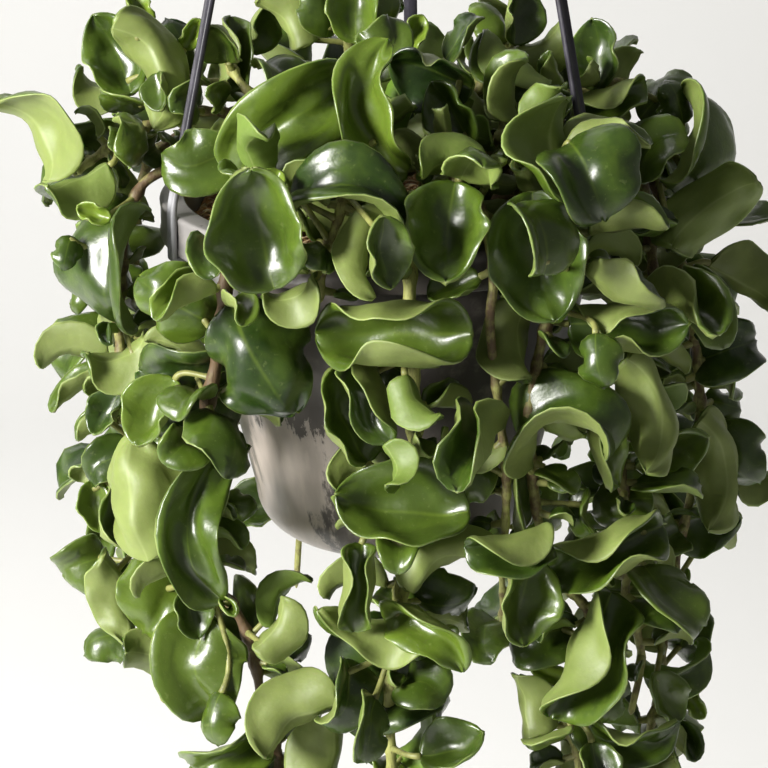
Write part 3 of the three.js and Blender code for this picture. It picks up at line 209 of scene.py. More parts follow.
# Listed leaves: seen x, seen height, depth, heading, pitch towards the viewer, roll (0 shows
# the glossy face, 180 the underside), length and form; then, for the most prominent ones, how light
# the glossy face is, where the rest have a drawn number from 0 to 1
LEAVES = {
    "crown_left": [
        [-150, 27, -10, 125, 0, 150, 50, "halfR", 0.9],
        [-136, 0, -14, 205, 10, 224, 38, "shell"],
        [-113, -2, -22, -62, 0, 133, 42, "cres"],
        [-128, 16, -6, 180, 0, 23, 36, "halfR"],
        [-104, 22, -30, -100, 10, -38, 34, "cup"],
        [-84, 14, -50, 10, 0, 40, 34, "swirl"],
    ],
    "crown_upleft": [
        [-118, 60, 5, 115, 0, -8, 40, "boat"],
        [-101, 52, -8, 112, 0, 165, 56, "cresN", 0.7],
        [-91, 62, 0, 105, 0, 30, 36, "dome"],
        [-107, 78, 8, 110, 0, 20, 20, "young"],
        [-85, 68, 12, 60, 0, 10, 18, "young"],
        [-125, 44, 22, 160, 0, 226, 30, "flat"],
        [-115, 38, 0, 170, 0, -28, 26, "swirl"],
        [-100, 43, -6, -80, 0, 40, 24, "cup"],
    ],
    "crown_midleft": [
        [-67, 60, 0, 85, 0, 30, 32, "pod"],
        [-47, 45, -20, 110, 0, 36, 38, "flat"],
        [-68, 31, -27, 215, 0, 135, 28, "cres"],
        [-56, 70, 10, 70, 0, 54, 28, "cup"],
    ],
    "left_outer": [
        [-124, -32, -36, -95, 0, 20, 62, "halfL", 0.25],
        [-112, -18, -26, -85, 0, 18, 34, "cup"],
        [-129, -10, -34, 160, 0, 0, 16, "young"],
        [-133, -24, -30, -100, 0, 228, 27, "flat"],
        [-141, -28, -24, -100, 0, -8, 20, "dome"],
        [-136, -48, -26, -110, 0, 46, 18, "dome"],
        [-122, -64, -48, 190, 0, -2, 26, "dome"],
        [-119, -76, -48, 200, 0, 216, 36, "flat"],
        [-126, -88, -44, 185, 0, 141, 24, "dome"],
        [-127, -101, -46, -120, 0, 28, 22, "cup"],
        [-137, -128, -40, 190, 0, 139, 17, "dome"],
        [-126, -125, -42, 215, 0, 50, 26, "swirl"],
        [-132, -145, -42, -80, 0, -8, 24, "boat"],
        [-139, -173, -46, 200, 0, 26, 26, "halfR"],
        [-126, -190, -60, -75, 0, 136, 46, "cres"],
        [-118, -178, -40, -30, 0, 44, 20, "dome"],
        [-109, -216, -72, 165, 0, 133, 34, "flat"],
    ],
    "left_front": [
        [-95, -49, -84, 150, 5, -14, 44, "dome"],
        [-57, -78, -104, -60, 0, 5, 60, "dome", 0.05],
        [-94, -70, -76, -35, 0, 228, 30, "cres"],
        [-88, -89, -86, 172, 0, 12, 58, "halfR", 0.1],
        [-106, -100, -88, -120, 0, 31, 34, "cup"],
        [-112, -139, -92, 98, 0, 156, 56, "boat", 0.9],
        [-84, -150, -92, 80, 0, 10, 84, "ess", 0.45],
        [-68, -144, -76, -10, 0, -12, 18, "dome"],
        [-74, -168, -70, -6, 0, 226, 28, "shell"],
        [-104, -188, -88, -120, 0, -28, 42, "halfL"],
        [-85, -223, -96, -80, 0, 40, 48, "swirl"],
        [-90, -196, -80, -80, 0, -18, 24, "cup"],
        [-80, -249, -98, -95, 0, 26, 26, "dome"],
        [-78, -268, -94, 200, 0, -12, 48, "hook"],
        [-50, -186, -86, 52, 0, 224, 32, "strap"],
        [-51, -203, -96, 60, 0, 133, 28, "shell"],
        [-47, -212, -84, 15, 0, 28, 26, "dome"],
        [-61, -212, -96, 250, 0, 131, 18, "dome"],
        [-48, -231, -86, -52, 0, 228, 32, "flat"],
    ],
    "crown_left_front": [
        [-42, 30, -62, 215, 0, -10, 74, "strap", 1.1],
        [-58, -17, -112, -80, 0, 5, 60, "cup", 0.4],
    ],
    "crown_centre": [
        [-9, 36, -88, -82, 0, 22, 62, "cres", 0.75],
        [-5, 64, -54, 60, 0, 44, 28, "swirl"],
        [-18, -5, -116, -18, 0, -54, 78, "ribbon", 0.1],
        [-14, -28, -124, -100, 0, 125, 46, "cresN", 0.9],
        [-3, -28, -120, -85, 0, -33, 34, "boat"],
        [-54, 0, -116, 240, 0, 10, 20, "young"],
        [-25, -48, -110, -100, 0, -28, 28, "cup"],
        [-43, -48, -100, 200, 0, 214, 32, "flat"],
    ],
    "front": [
        [-2, -64, -120, 0, 12, 0, 64, "lips", 0.3],
        [10, -97, -112, -50, 0, 128, 28, "shell"],
        [-19, -101, -108, -70, 0, -32, 44, "cup"],
        [-11, -93, -116, -75, 0, 30, 42, "pod"],
        [-15, -127, -110, 200, 0, 131, 32, "flat"],
        [2, -126, -112, -85, 0, 228, 26, "flat"],
        [3, -144, -120, -6, 0, -24, 58, "boat", 0.05],
        [25, -168, -110, 18, 0, 222, 46, "cres"],
        [-16, -184, -110, 85, 0, -2, 36, "pod"],
        [23, -187, -104, 4, 0, 39, 34, "dome"],
        [24, -198, -96, 180, 0, 141, 24, "flat"],
        [-6, -205, -112, -8, 0, 112, 62, "cres", 0.8],
        [14, -206, -106, -32, 0, 10, 52, "cresN"],
        [-3, -226, -116, 10, 0, 5, 56, "halfR"],
        [-46, -246, -112, 215, 0, 137, 42, "shell"],
        [-22, -238, -108, 70, 0, 36, 36, "flat"],
        [-10, -253, -114, -95, 0, -17, 34, "swirl"],
        [15, -250, -106, 72, 0, 49, 44, "halfL"],
        [27, -261, -104, 22, 0, -32, 36, "cup"],
        [-32, -269, -108, 85, 0, 218, 40, "shell"],
    ],
    "crown_top": [
        [-45, 75, 10, 130, 0, 131, 30, "shell"],
        [-31, 80, 0, 105, 0, 40, 30, "dome"],
        [-17, 80, -6, 95, 0, -8, 32, "cup"],
        [-4, 78, 4, 75, 0, 36, 28, "dome"],
        [8, 68, -8, 60, 0, 10, 20, "young"],
    ],
    "crown_front_right": [
        [15, 50, -60, -20, 0, 39, 38, "cup"],
        [28, 68, -30, 60, 0, -22, 26, "swirl"],
        [24, 34, -70, -60, 0, 28, 32, "boat"],
        [22, 13, -88, 190, 0, 139, 32, "shell"],
        [23, -18, -112, -95, 0, 5, 52, "cup"],
    ],
    "crown_topright": [
        [48, 53, -30, -40, 0, 60, 36, "pod"],
        [53, 77, -4, 85, 0, 36, 28, "cup"],
        [62, 62, -10, 30, 0, 135, 30, "shell"],
        [40, 74, 0, 130, 0, 44, 26, "dome"],
    ],
    "crown_right_front": [
        [68, 16, -88, -72, 0, 152, 52, "halfR", 0.8],
        [84, 8, -98, -70, 0, 23, 46, "halfR", 0.2],
        [64, -18, -116, 110, 0, -13, 44, "halfL", 0.1],
        [63, -30, -106, -80, 0, 5, 56, "cup", 0.1],
    ],
    "crown_right": [
        [85, 60, -20, 92, 0, -23, 32, "cup"],
        [96, 52, -16, 70, 0, 222, 24, "shell"],
        [75, 45, -24, 150, 0, -12, 28, "swirl"],
        [93, 40, -28, 20, 0, 30, 32, "pod"],
        [116, 42, -4, 40, 0, -22, 34, "dome"],
    ],
    "crown_far_right": [
        [131, 23, -22, 80, 0, 25, 52, "halfL", 0.85],
        [119, 40, -10, 110, 0, -18, 26, "dome"],
        [133, -10, -44, 40, 0, 170, 56, "strap", 0.8],
        [154, -10, -12, 10, 0, -18, 26, "swirl"],
        [111, -14, -46, 200, 0, 46, 26, "cup"],
    ],
    "centre_right": [
        [52, -68, -98, -90, 0, 135, 40, "shell"],
        [34, -117, -104, 170, 0, 224, 32, "strap"],
        [50, -112, -108, -60, 0, -27, 42, "boat"],
        [30, -130, -106, -160, 0, 28, 34, "dome"],
        [57, -140, -108, -80, 0, -33, 46, "swirl"],
        [54, -165, -112, 12, 0, 30, 46, "roll"],
        [60, -191, -108, -100, 0, -23, 38, "cup"],
        [69, -194, -104, 60, 0, 10, 18, "young"],
    ],
    "right_front": [
        [101, -61, -104, 0, 15, 15, 50, "lips"],
        [90, -77, -104, -80, 0, 39, 32, "dome"],
        [74, -106, -112, 12, 0, -66, 74, "wave", 0.4],
        [85, -116, -108, -80, 0, 226, 38, "shell"],
        [94, -116, -100, -75, 0, -33, 40, "cres"],
        [85, -149, -92, -75, 0, 50, 26, "strap"],
        [66, -205, -104, 195, 0, -23, 32, "halfL"],
        [90, -219, -112, 65, 0, 24, 58, "pod", 0.7],
        [97, -235, -108, -88, 0, -17, 32, "dome"],
        [107, -257, -100, -5, 0, 44, 48, "cres"],
        [70, -224, -102, 150, 0, 5, 18, "young"],
        [63, -240, -100, -80, 0, 218, 30, "shell"],
        [70, -258, -100, 200, 0, -33, 22, "swirl"],
        [80, -272, -100, -100, 0, 228, 28, "shell"],
        [95, -272, -96, -70, 0, -18, 28, "cup"],
    ],
    "right_mid": [
        [108, -77, -92, -80, 0, 222, 30, "shell"],
        [112, -100, -92, -80, 0, 172, 56, "cres", 0.9],
        [122, -117, -84, 20, 0, 39, 42, "boat"],
        [100, -143, -98, 10, 0, -27, 36, "dome"],
        [95, -166, -106, 20, 0, 10, 52, "pod"],
        [102, -182, -86, 0, 0, -28, 30, "swirl"],
        [118, -168, -78, -75, 0, 220, 24, "strap"],
        [114, -184, -76, 35, 0, 137, 24, "strap"],
    ],
    "right_outer": [
        [152, -38, -14, -30, 0, 214, 36, "shell"],
        [146, -71, -30, 20, 0, -12, 36, "flat"],
        [139, -85, -34, -5, 0, 224, 36, "flat"],
        [145, -97, -30, -15, 0, -22, 26, "dome"],
        [152, -120, -30, -60, 0, 28, 38, "dome"],
        [142, -128, -46, -85, 0, 172, 56, "cres", 0.8],
        [138, -152, -44, 5, 0, 35, 36, "cup"],
        [161, -132, -24, 10, 0, 129, 26, "flat"],
        [115, -198, -60, 95, 0, 222, 30, "shell"],
        [132, -204, -48, 70, 0, -12, 34, "flat"],
        [130, -222, -56, 20, 0, 44, 40, "hook"],
        [125, -237, -60, -60, 0, -27, 30, "cup"],
        [137, -240, -50, -60, 0, 10, 16, "young"],
        [118, -272, -50, 10, 0, 139, 32, "flat"],
    ],
}

# The viewer that the listed leaves are described for: sideways shift, distance from the pot's
# axis, height above the rim and downward tilt
VIEW_X, VIEW_DISTANCE, VIEW_HEIGHT, VIEW_TILT = 5.5, 1200, 312, 0.321
TOWARDS = np.array([0, -math.cos(VIEW_TILT), math.sin(VIEW_TILT)])
UPWARDS = np.array([0, math.sin(VIEW_TILT), math.cos(VIEW_TILT)])

# Pot, soil and hanger: radii and heights, and the turn of each arm from the viewer's side
RIM_RADIUS, POT_HEIGHT, BAND_HEIGHT = 100, 151, 16.7
WALL_TOP, CORNER_TOP, CORNER_HEIGHT, BASE = 91.5, 60.5, 20, 42
DRAIN_CIRCLE, DRAIN_RADIUS, DRAIN_COUNT = 27, 3.5, 6
SOIL_TOP, SOIL_RADIUS, SOIL_BOTTOM = -8, 86.2, -148.5
HUB_HEIGHT = 430
ARM_ANGLES = {"left": -64.6, "right": 55.4, "back": 175.4}


def unit(v):
    """v over its length, along the last axis."""
    return v / np.linalg.norm(v, axis=-1, keepdims=True)


def seen(x, z, y):
    """Where a point that looks to be at (x, z) on the axis plane lies when its depth is y."""
    share = y / VIEW_DISTANCE
    return np.array([x + (x - VIEW_X) * share, y, z + (z - VIEW_HEIGHT) * share])


def smooth_path(points, count):
    """count + 1 points on the uniform Catmull-Rom spline through points, whose ends are mirrored."""
    p = np.asarray(points, float)
    p = np.concatenate([[2 * p[0] - p[1]], p, [2 * p[-1] - p[-2]]])
    spans = len(p) - 3
    t = np.linspace(0, spans, count + 1)
    i = np.minimum(t.astype(int), spans - 1)
    f = (t - i)[:, None]
    a, b, c, d = p[i], p[i + 1], p[i + 2], p[i + 3]
    cubic = (3 * b - a - 3 * c + d) * f**3 + (2 * a - 5 * b + 4 * c - d) * f**2
    return 0.5 * (2 * b + (c - a) * f + cubic)


def arc_lengths(path):
    """Distance along a path at each of its points."""
    return np.concatenate([[0], np.cumsum(np.linalg.norm(np.diff(path, axis=0), axis=1))])


# Leaf form. A blade is laid out in its own frame: x along the midrib, y to its left, z out of the
# glossy face.
MIDRIB_STEPS = 24
HALF_STEPS = 12
MARGIN_WAVES = 1.1
WAVE_START = (0.6, 2.6)
FOLD_REACH, FOLD_EASE = 0.5, 1.3
BOWL, RIM_BOWL = 0.9, 0.5
BASE_BLUNTNESS = 0.48


def midrib_angles(form, u):
    """Bend, sweep and twist at u: each runs evenly from base to tip, and the bend adds a cubic hook."""
    bend = (form.bend * (u - 0.5) + form.hook * (u**3 - 0.125)) * RAD
    return bend, form.sweep * (u - 0.5) * RAD, form.twist * (u - 0.5) * RAD


def midrib(length, form):
    """Points of the midrib: the running sum of equal steps in the direction of bend and sweep."""
    bend, sweep, _ = midrib_angles(form, (np.arange(MIDRIB_STEPS) + 0.5) / MIDRIB_STEPS)
    step = np.stack([np.cos(bend) * np.cos(sweep), np.sin(sweep), -np.sin(bend) * np.cos(sweep)], -1)
    return np.concatenate([np.zeros((1, 3)), np.cumsum(step * (length / MIDRIB_STEPS), 0)])


def midrib_axes(form, u):
    """Axes of the midrib at u: along it, across it and out of the glossy face."""
    bend, sweep, twist = (a[:, None] for a in midrib_angles(form, np.asarray(u, float)))
    cb, sb, cs, ss = np.cos(bend), np.sin(bend), np.cos(sweep), np.sin(sweep)
    along = np.concatenate([cb * cs, ss, -sb * cs], 1)
    across = np.concatenate([-cb * ss, cs, sb * ss], 1)
    out = np.concatenate([sb, 0 * sb, cb], 1)
    return (along, across * np.cos(twist) + out * np.sin(twist),
            out * np.cos(twist) - across * np.sin(twist))


def half_width(length, form, u):
    """Half the blade's width at u: a power of u times a power of 1 - u, scaled to the form's ratio."""
    blunt, total = form.blunt, BASE_BLUNTNESS + form.blunt
    peak = (BASE_BLUNTNESS / total) ** BASE_BLUNTNESS * (blunt / total) ** blunt
    return length * form.ratio / 2 * u**BASE_BLUNTNESS * np.clip(1 - u, 0, 1) ** blunt / peak


def blade_surface(length, form, u, steps=HALF_STEPS):
    """Rows of 2 * steps + 1 points from the right margin to the left. Each half of a section starts
    at the midrib and is the running sum of equal steps, at an angle of a fold that sets in at once,
    a curl that grows evenly, a flare that grows with the cube and a wave with the square. Towards
    both ends of the blade all four fall off with a power of its width there."""
    u = np.asarray(u, float)
    table = midrib(length, form)
    grid = np.linspace(0, 1, MIDRIB_STEPS + 1)
    centre = np.stack([np.interp(u, grid, table[:, k]) for k in range(3)], -1)
    _, across, out = midrib_axes(form, u)
    wide = half_width(length, form, u)[:, None]
    share = wide / (length * form.ratio / 2)
    v = (np.arange(steps) + 0.5) / steps
    halves = []
    for sign, start, (fold, curl, flare) in zip((1, -1), WAVE_START, (form[1:7:2], form[2:7:2])):
        wave = form.wave * RAD * np.sin(2 * math.pi * MARGIN_WAVES * u + start)[:, None]
        fold = fold * RAD * np.minimum(v / FOLD_REACH, 1) ** FOLD_EASE
        angle = (fold + curl * RAD * v) * share**BOWL
        angle = angle + (flare * RAD * v**3 + wave * v**2) * share**RIM_BOWL
        side = np.cumsum(np.cos(angle), 1) * wide / steps * sign
        rise = np.cumsum(np.sin(angle), 1) * wide / steps
        halves.append(centre[:, None] + side[..., None] * across[:, None] + rise[..., None] * out[:, None])
    return np.concatenate([halves[1][:, ::-1], centre[:, None], halves[0]], 1)


SAMPLE_ROWS = np.arange(1, 14) / 14
BASE_SAMPLES = 5 * (HALF_STEPS + 1)


class Leaf:
    """A leaf set in place. axes holds the directions along, across and out, and centre is where the
    mean of its sample points goes, or base is where its midrib starts, as in the leaves of the rule.
    Distances are measured from the samples, of which the first BASE_SAMPLES are near the base. start
    is the midrib's first direction, and light how light the glossy face is, if that is told."""

    def __init__(self, stem, length, form, along, out, centre=None, base=None):
        self.stem, self.length, self.form = stem, length, form
        self.axes = np.stack([along, np.cross(out, along), out])
        samples = blade_surface(length, form, SAMPLE_ROWS)[:, ::2].reshape(-1, 3)
        self.base = base if centre is None else centre - samples.mean(0) @ self.axes
        self.samples = samples @ self.axes + self.base
        self.middle = self.samples.mean(0)
        self.start = unit(midrib(length, form)[1] @ self.axes)
        self.reach = np.linalg.norm(self.samples - self.middle, axis=1).max()
        self.rule = centre is None
        self.light = None

    def place(self, points):
        """Points of the blade's own frame, put where the leaf is."""
        return points @ self.axes + self.base


# Least distances between the points of leaves and other things: leaves of another stem and of the
# same one, the leaves of the rule, stems, petioles, arms and the pot
STEM_RADIUS = 2.1
APART = {"other": 3.3, "own": 2.4, "fill": 2.8, "stem": 1.9, "own_stem": 2.2, "own_stalk": 2.4,
    "stalk": 3.2, "stalks": 3.6, "arm": 4.6, "pot": 2}


def nearer(limit, a, b):
    """True if a point of a is nearer than limit to a point of b."""
    if not len(a) or not len(b):
        return False
    squares = (a * a).sum(1)[:, None] + (b * b).sum(1) - 2 * a @ b.T
    return bool(squares.min() < limit * limit)


WALL_FOOT, WALL_SLANT, BASE_REACH = 59.5, 32, 60
BAND_LOW, ABOVE_RIM, MOUTH_RADIUS = -19, 1.5, 88


def pot_reach(z):
    """Outermost radius of the pot at a height: nothing above the rim, the band, then the wall, which
    bulges over its slant with a power of the height, and the base."""
    wall = WALL_FOOT + WALL_SLANT * np.clip((z + POT_HEIGHT) / (POT_HEIGHT - BAND_HEIGHT), 0, 1) ** 0.8
    below = np.where(z > BAND_LOW, RIM_RADIUS, np.where(z > -POT_HEIGHT, wall, BASE_REACH))
    return np.where(z > ABOVE_RIM, 0, below)


def clear_of_pot(points):
    """True if every point is outside the pot, or over its soil."""
    r, z = np.hypot(points[:, 0], points[:, 1]), points[:, 2]
    inside = (r < MOUTH_RADIUS) & (z > SOIL_TOP + APART["pot"])
    return bool(np.all((r > pot_reach(z) + APART["pot"]) | inside))


ARM_RADII, ARM_HEIGHTS = (103, 103, 4), (-20, 0, HUB_HEIGHT)


def arm_lines():
    """The two straight lines of each hanger arm: beside the rim's band, then up to the hub."""
    lines = []
    for angle in ARM_ANGLES.values():
        s, c = math.sin(angle * RAD), -math.cos(angle * RAD)
        low, rim, top = (np.array([r * s, r * c, z]) for r, z in zip(ARM_RADII, ARM_HEIGHTS))
        lines += [(low, rim), (rim, top)]
    return lines


ARM_LINES = arm_lines()


def clear_of_arms(points):
    """True if no point is too near to the nearest place on any arm's lines."""
    for a, b in ARM_LINES:
        share = np.clip((points - a) @ (b - a) / ((b - a) @ (b - a)), 0, 1)
        if np.linalg.norm(points - a - share[:, None] * (b - a), axis=1).min() < APART["arm"]:
            return False
    return True


STEM_POINTS = 120


def stem_points(stem):
    """The points that a stem's path runs through, from its root in the soil to its tip."""
    rise = [[*stem["root"], z] for z in (-28, -17, -5, 6)]
    return rise + stem["arch"] + [list(seen(*p)) for p in stem.get("hang", [])]


PATHS = {name: smooth_path(stem_points(stem), STEM_POINTS) for name, stem in STEMS.items()}
PATH_POINTS = np.concatenate(list(PATHS.values()))
PATH_STEMS = np.repeat(list(PATHS), STEM_POINTS + 1)


class Foliage:
    """The leaves placed so far, with a ball round each for finding the ones near a place."""

    MOST = 3000

    def __init__(self):
        self.leaves, self.balls = [], np.zeros((self.MOST, 4))

    def add(self, leaf):
        self.balls[len(self.leaves)] = [*leaf.middle, leaf.reach]
        self.leaves.append(leaf)

    def near(self, place, reach):
        """The leaves whose balls come within reach of a place."""
        balls = self.balls[:len(self.leaves)]
        gaps = np.sqrt(((balls[:, :3] - place) ** 2).sum(1)) - balls[:, 3]
        return [self.leaves[k] for k in np.flatnonzero(gaps <= reach)]


# A petiole leaves the point of its leaf's stem nearest to the blade, or one a little further along
# or back where it would run into a leaf of the same stem, and ends along the midrib. Points before
# FREE_FROM are in or just over the soil.
ROOT_SHIFTS = (0, -4, 4, -8, 8, -12, 12, -17, 17)
FREE_FROM, OWN_REACH, HANDLE = 19, 40, 0.38
LINE_SHARES = np.array([2, 3, 4, 5, 6])[:, None] / 8


def set_petiole(leaf, root):
    """A cubic curve from the root on the stem to the base of the blade."""
    t = np.linspace(0, 1, 9)[:, None]
    handle = np.linalg.norm(root - leaf.base) * HANDLE
    b, c = root + 0.25 * (leaf.base - root), leaf.base - handle * leaf.start
    curve = (1 - t) ** 3 * root + 3 * (1 - t) ** 2 * t * b + 3 * (1 - t) * t**2 * c + t**3 * leaf.base
    leaf.petiole = curve
    leaf.guard = np.concatenate([curve, root + LINE_SHARES * (leaf.base - root)])


def nearest_free(leaf):
    """The number of the stem's point, clear of the soil, that is nearest to the leaf's base."""
    path = PATHS[leaf.stem][FREE_FROM:]
    target = leaf.base - 4 * leaf.start
    return FREE_FROM + int(((path - target) ** 2).sum(1).argmin())


def add_petiole(leaf, placed):
    """Roots the petiole at the first of the places tried from which it meets no leaf of its stem."""
    path, nearest = PATHS[leaf.stem], nearest_free(leaf)
    own = [other for other in placed.near(leaf.base, OWN_REACH) if other.stem == leaf.stem]
    for shift in ROOT_SHIFTS:
        root = path[min(max(nearest + shift, FREE_FROM), STEM_POINTS)]
        line = root + LINE_SHARES * (leaf.base - root)
        if not any(nearer(APART["own_stalk"], line, other.samples) for other in own):
            set_petiole(leaf, root)
            return
    set_petiole(leaf, path[nearest])


def fits(leaf, placed, own_gap):
    """True if the leaf keeps its clearances from pot, arms, stems and the leaves placed so far."""
    if not clear_of_pot(leaf.samples) or not clear_of_arms(leaf.samples):
        return False
    close = np.sqrt(((PATH_POINTS - leaf.middle) ** 2).sum(1)) < leaf.reach + 5
    near, own_stem = PATH_POINTS[close], PATH_STEMS[close] == leaf.stem
    if nearer(APART["own_stem"], leaf.samples[BASE_SAMPLES:], near[own_stem]):
        return False
    if nearer(STEM_RADIUS + APART["stem"], leaf.samples, near[~own_stem]):
        return False
    for other in placed.near(leaf.middle, leaf.reach + 4):
        own = other.stem == leaf.stem
        if nearer(own_gap if own else APART["other"], leaf.samples, other.samples):
            return False
        if not own and (nearer(APART["stalk"], leaf.samples, other.guard)
                or nearer(APART["stalk"], leaf.guard, other.samples)
                or nearer(APART["stalks"], leaf.guard, other.guard)):
            return False
    return True


# Changes tried in turn where a listed leaf would touch something: depth, pitch, roll and scale
TRIES = [(0, 0, 0, 1)] + [(depth, 0, 0, 1) for depth in (-4, 4, -8, 8, -12, 12)]
TRIES += [(depth, pitch, roll, scale) for scale in (0.9, 0.8)
    for pitch, roll in ((20, 0), (-20, 0), (0, 25), (0, -25)) for depth in (0, -6, 6, -12, 12, -18, 18)]
TURN_GAIN = 4


def end_for_end(form):
    """The same form with its midrib run the other way, for a blade whose tip is nearer its stem."""
    return form._replace(fold_left=form.fold_right, fold_right=form.fold_left,
        curl_left=form.curl_right, curl_right=form.curl_left, flare_left=form.flare_right,
        flare_right=form.flare_left, sweep=-form.sweep)


def hand_leaf(stem, row, change, placed):
    """The leaf of a row, whose heading, pitch and roll are measured in the viewer's axes, by
    whichever of its ends is nearer the stem."""
    x, z, y, heading, pitch, roll, length, name = row[:8]
    depth, nod, turn, scale = change
    h, p, r = heading * RAD, (pitch + nod) * RAD, (roll + turn) * RAD
    along = math.cos(p) * (math.cos(h) * np.array([1.0, 0, 0]) + math.sin(h) * UPWARDS)
    along = along + math.sin(p) * TOWARDS
    facing = unit(TOWARDS - (TOWARDS @ along) * along)
    out = math.cos(r) * facing + math.sin(r) * np.cross(along, facing)
    centre, form = seen(x, z, y + depth), FORMS[name]
    ways = [Leaf(stem, length * scale, form, along, out, centre),
        Leaf(stem, length * scale, end_for_end(form), -along, out, centre)]
    there, back = (math.dist(PATHS[stem][nearest_free(way)], way.base) for way in ways)
    leaf = ways[1 if back + TURN_GAIN < there else 0]
    if len(row) > 8:
        leaf.light = row[8]
    add_petiole(leaf, placed)
    return leaf


def place_hand_leaves(placed):
    """Places the leaves of the table, the longest first, each with the first change that fits."""
    rows = [(stem, row) for stem, leaves in LEAVES.items() for row in leaves]
    for stem, row in sorted(rows, key=lambda pair: -pair[1][6]):
        for change in TRIES:
            leaf = hand_leaf(stem, row, change, placed)
            if fits(leaf, placed, APART["own"]):
                placed.add(leaf)
                break


# Leaves between the listed ones: pairs stand out of each stem, each pair a quarter turn from
# the last, with a spread of sizes and forms from multiples of irrational numbers
FILL_START = 40
FILL_FORMS = ("cup", "dome", "shell", "halfL", "flat", "pod", "halfR", "cres", "swirl", "shell")
FILL_SCALES, FILL_TURNS = (1, 0.78, 0.6), (0, 40, -40, 80, -80)
FILL_AZIMUTHS, FILL_ROLLS, FILL_FACING = 40, 80, np.array([0, -0.35, 0.35])
LEAN, LIFT, SAG, FALLING = 0.35, 0.25, -0.1, -0.3
PETIOLE = 6

# The rounds in which they are placed, each between the ones before: how far apart along trailing
# stems and along crown stems, how far from the parts left open, between which two heights the stems
# in front stay bare, and the least length with the most that is drawn on top of it
FILL_ROUNDS = [
    (60, 45, 0, (0, 0), (24, 22)),
    (18, 12, 11, (-215, -185), (24, 22)),
    (13, 9, 8, (-215, -185), (14, 12)),
]
SPREAD = (0.6180339887498949, 0.7548776662466927, 0.5698402909980532, 0.8191725133961645)


def drawn(number):
    """Four numbers from 0 to 1 that look random from one whole number to the next."""
    return [(number + 1) * s % 1 for s in SPREAD]


def fill_leaf(stem, at, tangent, azimuth, draws, length, form):
    """A leaf whose midrib stands out of the stem at an azimuth round it, leans along the stem, and
    rises a little, or sags where the stem falls. Its glossy face looks back along the stem, or up
    where it can't, and is rolled a little."""
    side = unit(np.cross(tangent, [0, -1, 0.3]))
    along = side * math.cos(azimuth) + np.cross(tangent, side) * math.sin(azimuth)
    along = along + tangent * LEAN * (draws[3] - 0.2)
    along[2] += LIFT if tangent[2] > FALLING else SAG
    along = unit(along)
    out = FILL_FACING - tangent
    out = out - (out @ along) * along
    if np.linalg.norm(out) < 0.2:
        out = np.array([0, 0, 1.0]) - along[2] * along
    out = unit(out)
    roll = (draws[1] - 0.5) * FILL_ROLLS * RAD
    facing = out * math.cos(roll) + np.cross(along, out) * math.sin(roll)
    leaf = Leaf(stem, length, form, along, facing, base=at + PETIOLE * along)
    leaf.petiole = at + np.linspace(0, 1, 9)[:, None] * (leaf.base - at)
    leaf.guard = leaf.petiole
    return leaf


# Parts of the view, in mm on the viewer's plane (left, right, bottom and top), that the rule leaves
# open: soil and strap at the left, the lit and the shaded side of the pot, and the gaps below it
OPEN_VIEWS = [(-102, -78, -31, 7), (-64, -26, -158, -105), (26, 52, -110, -57), (-64, -30, -194, -160),
    (22, 54, -260, -174), (141, 165, -260, -163)]
FRONT_DEPTH = 20


def hides(leaf, margin):
    """True if the leaf's middle would stand in front of a part left open, or within a margin of one.
    Without a margin it takes in only the leaves in front of the stems at the back."""
    x, y, z = leaf.middle
    if y >= FRONT_DEPTH and not margin:
        return False
    share = y / VIEW_DISTANCE
    across, up = (x + VIEW_X * share) / (1 + share), (z + VIEW_HEIGHT * share) / (1 + share)
    return any(a - margin < across < b + margin and low - margin < up < top + margin
        for a, b, low, top in OPEN_VIEWS)


def place_fill_leaf(stem, at, tangent, angle, draws, margin, sizes, placed):
    """One leaf of a pair: of full size, or smaller, or turned, whichever first finds room."""
    form = FORMS[FILL_FORMS[int(draws[1] * len(FILL_FORMS))]]
    for scale, turn in ((s, t) for s in FILL_SCALES for t in FILL_TURNS):
        length = (sizes[0] + sizes[1] * draws[0]) * scale
        leaf = fill_leaf(stem, at, tangent, (angle + turn) * RAD, draws, length, form)
        if not hides(leaf, margin) and fits(leaf, placed, APART["fill"]):
            placed.add(leaf)
            return


def place_fill_leaves(placed, step, crown_step, margin, bare, sizes, count):
    """One round of pairs of leaves along every stem, where they fit. Returns count with the leaves
    tried so far added, from which the next round draws its numbers."""
    for stem, path in PATHS.items():
        distances = arc_lengths(path)
        gap = crown_step if stem.startswith("crown") else step
        for pair, distance in enumerate(np.arange(FILL_START, distances[-1] - 2, gap)):
            i = min(max(int(np.searchsorted(distances, distance)), 1), STEM_POINTS - 1)
            if bare[0] < path[i][2] < bare[1] and path[i][1] < FRONT_DEPTH:
                continue
            tangent = unit(path[i + 1] - path[i - 1])
            for side in (0, 1):
                count += 1
                draws = drawn(count)
                angle = 90 * pair + 180 * side + FILL_AZIMUTHS * (draws[2] - 0.5)
                place_fill_leaf(stem, path[i], tangent, angle, draws, margin, sizes, placed)
    return count


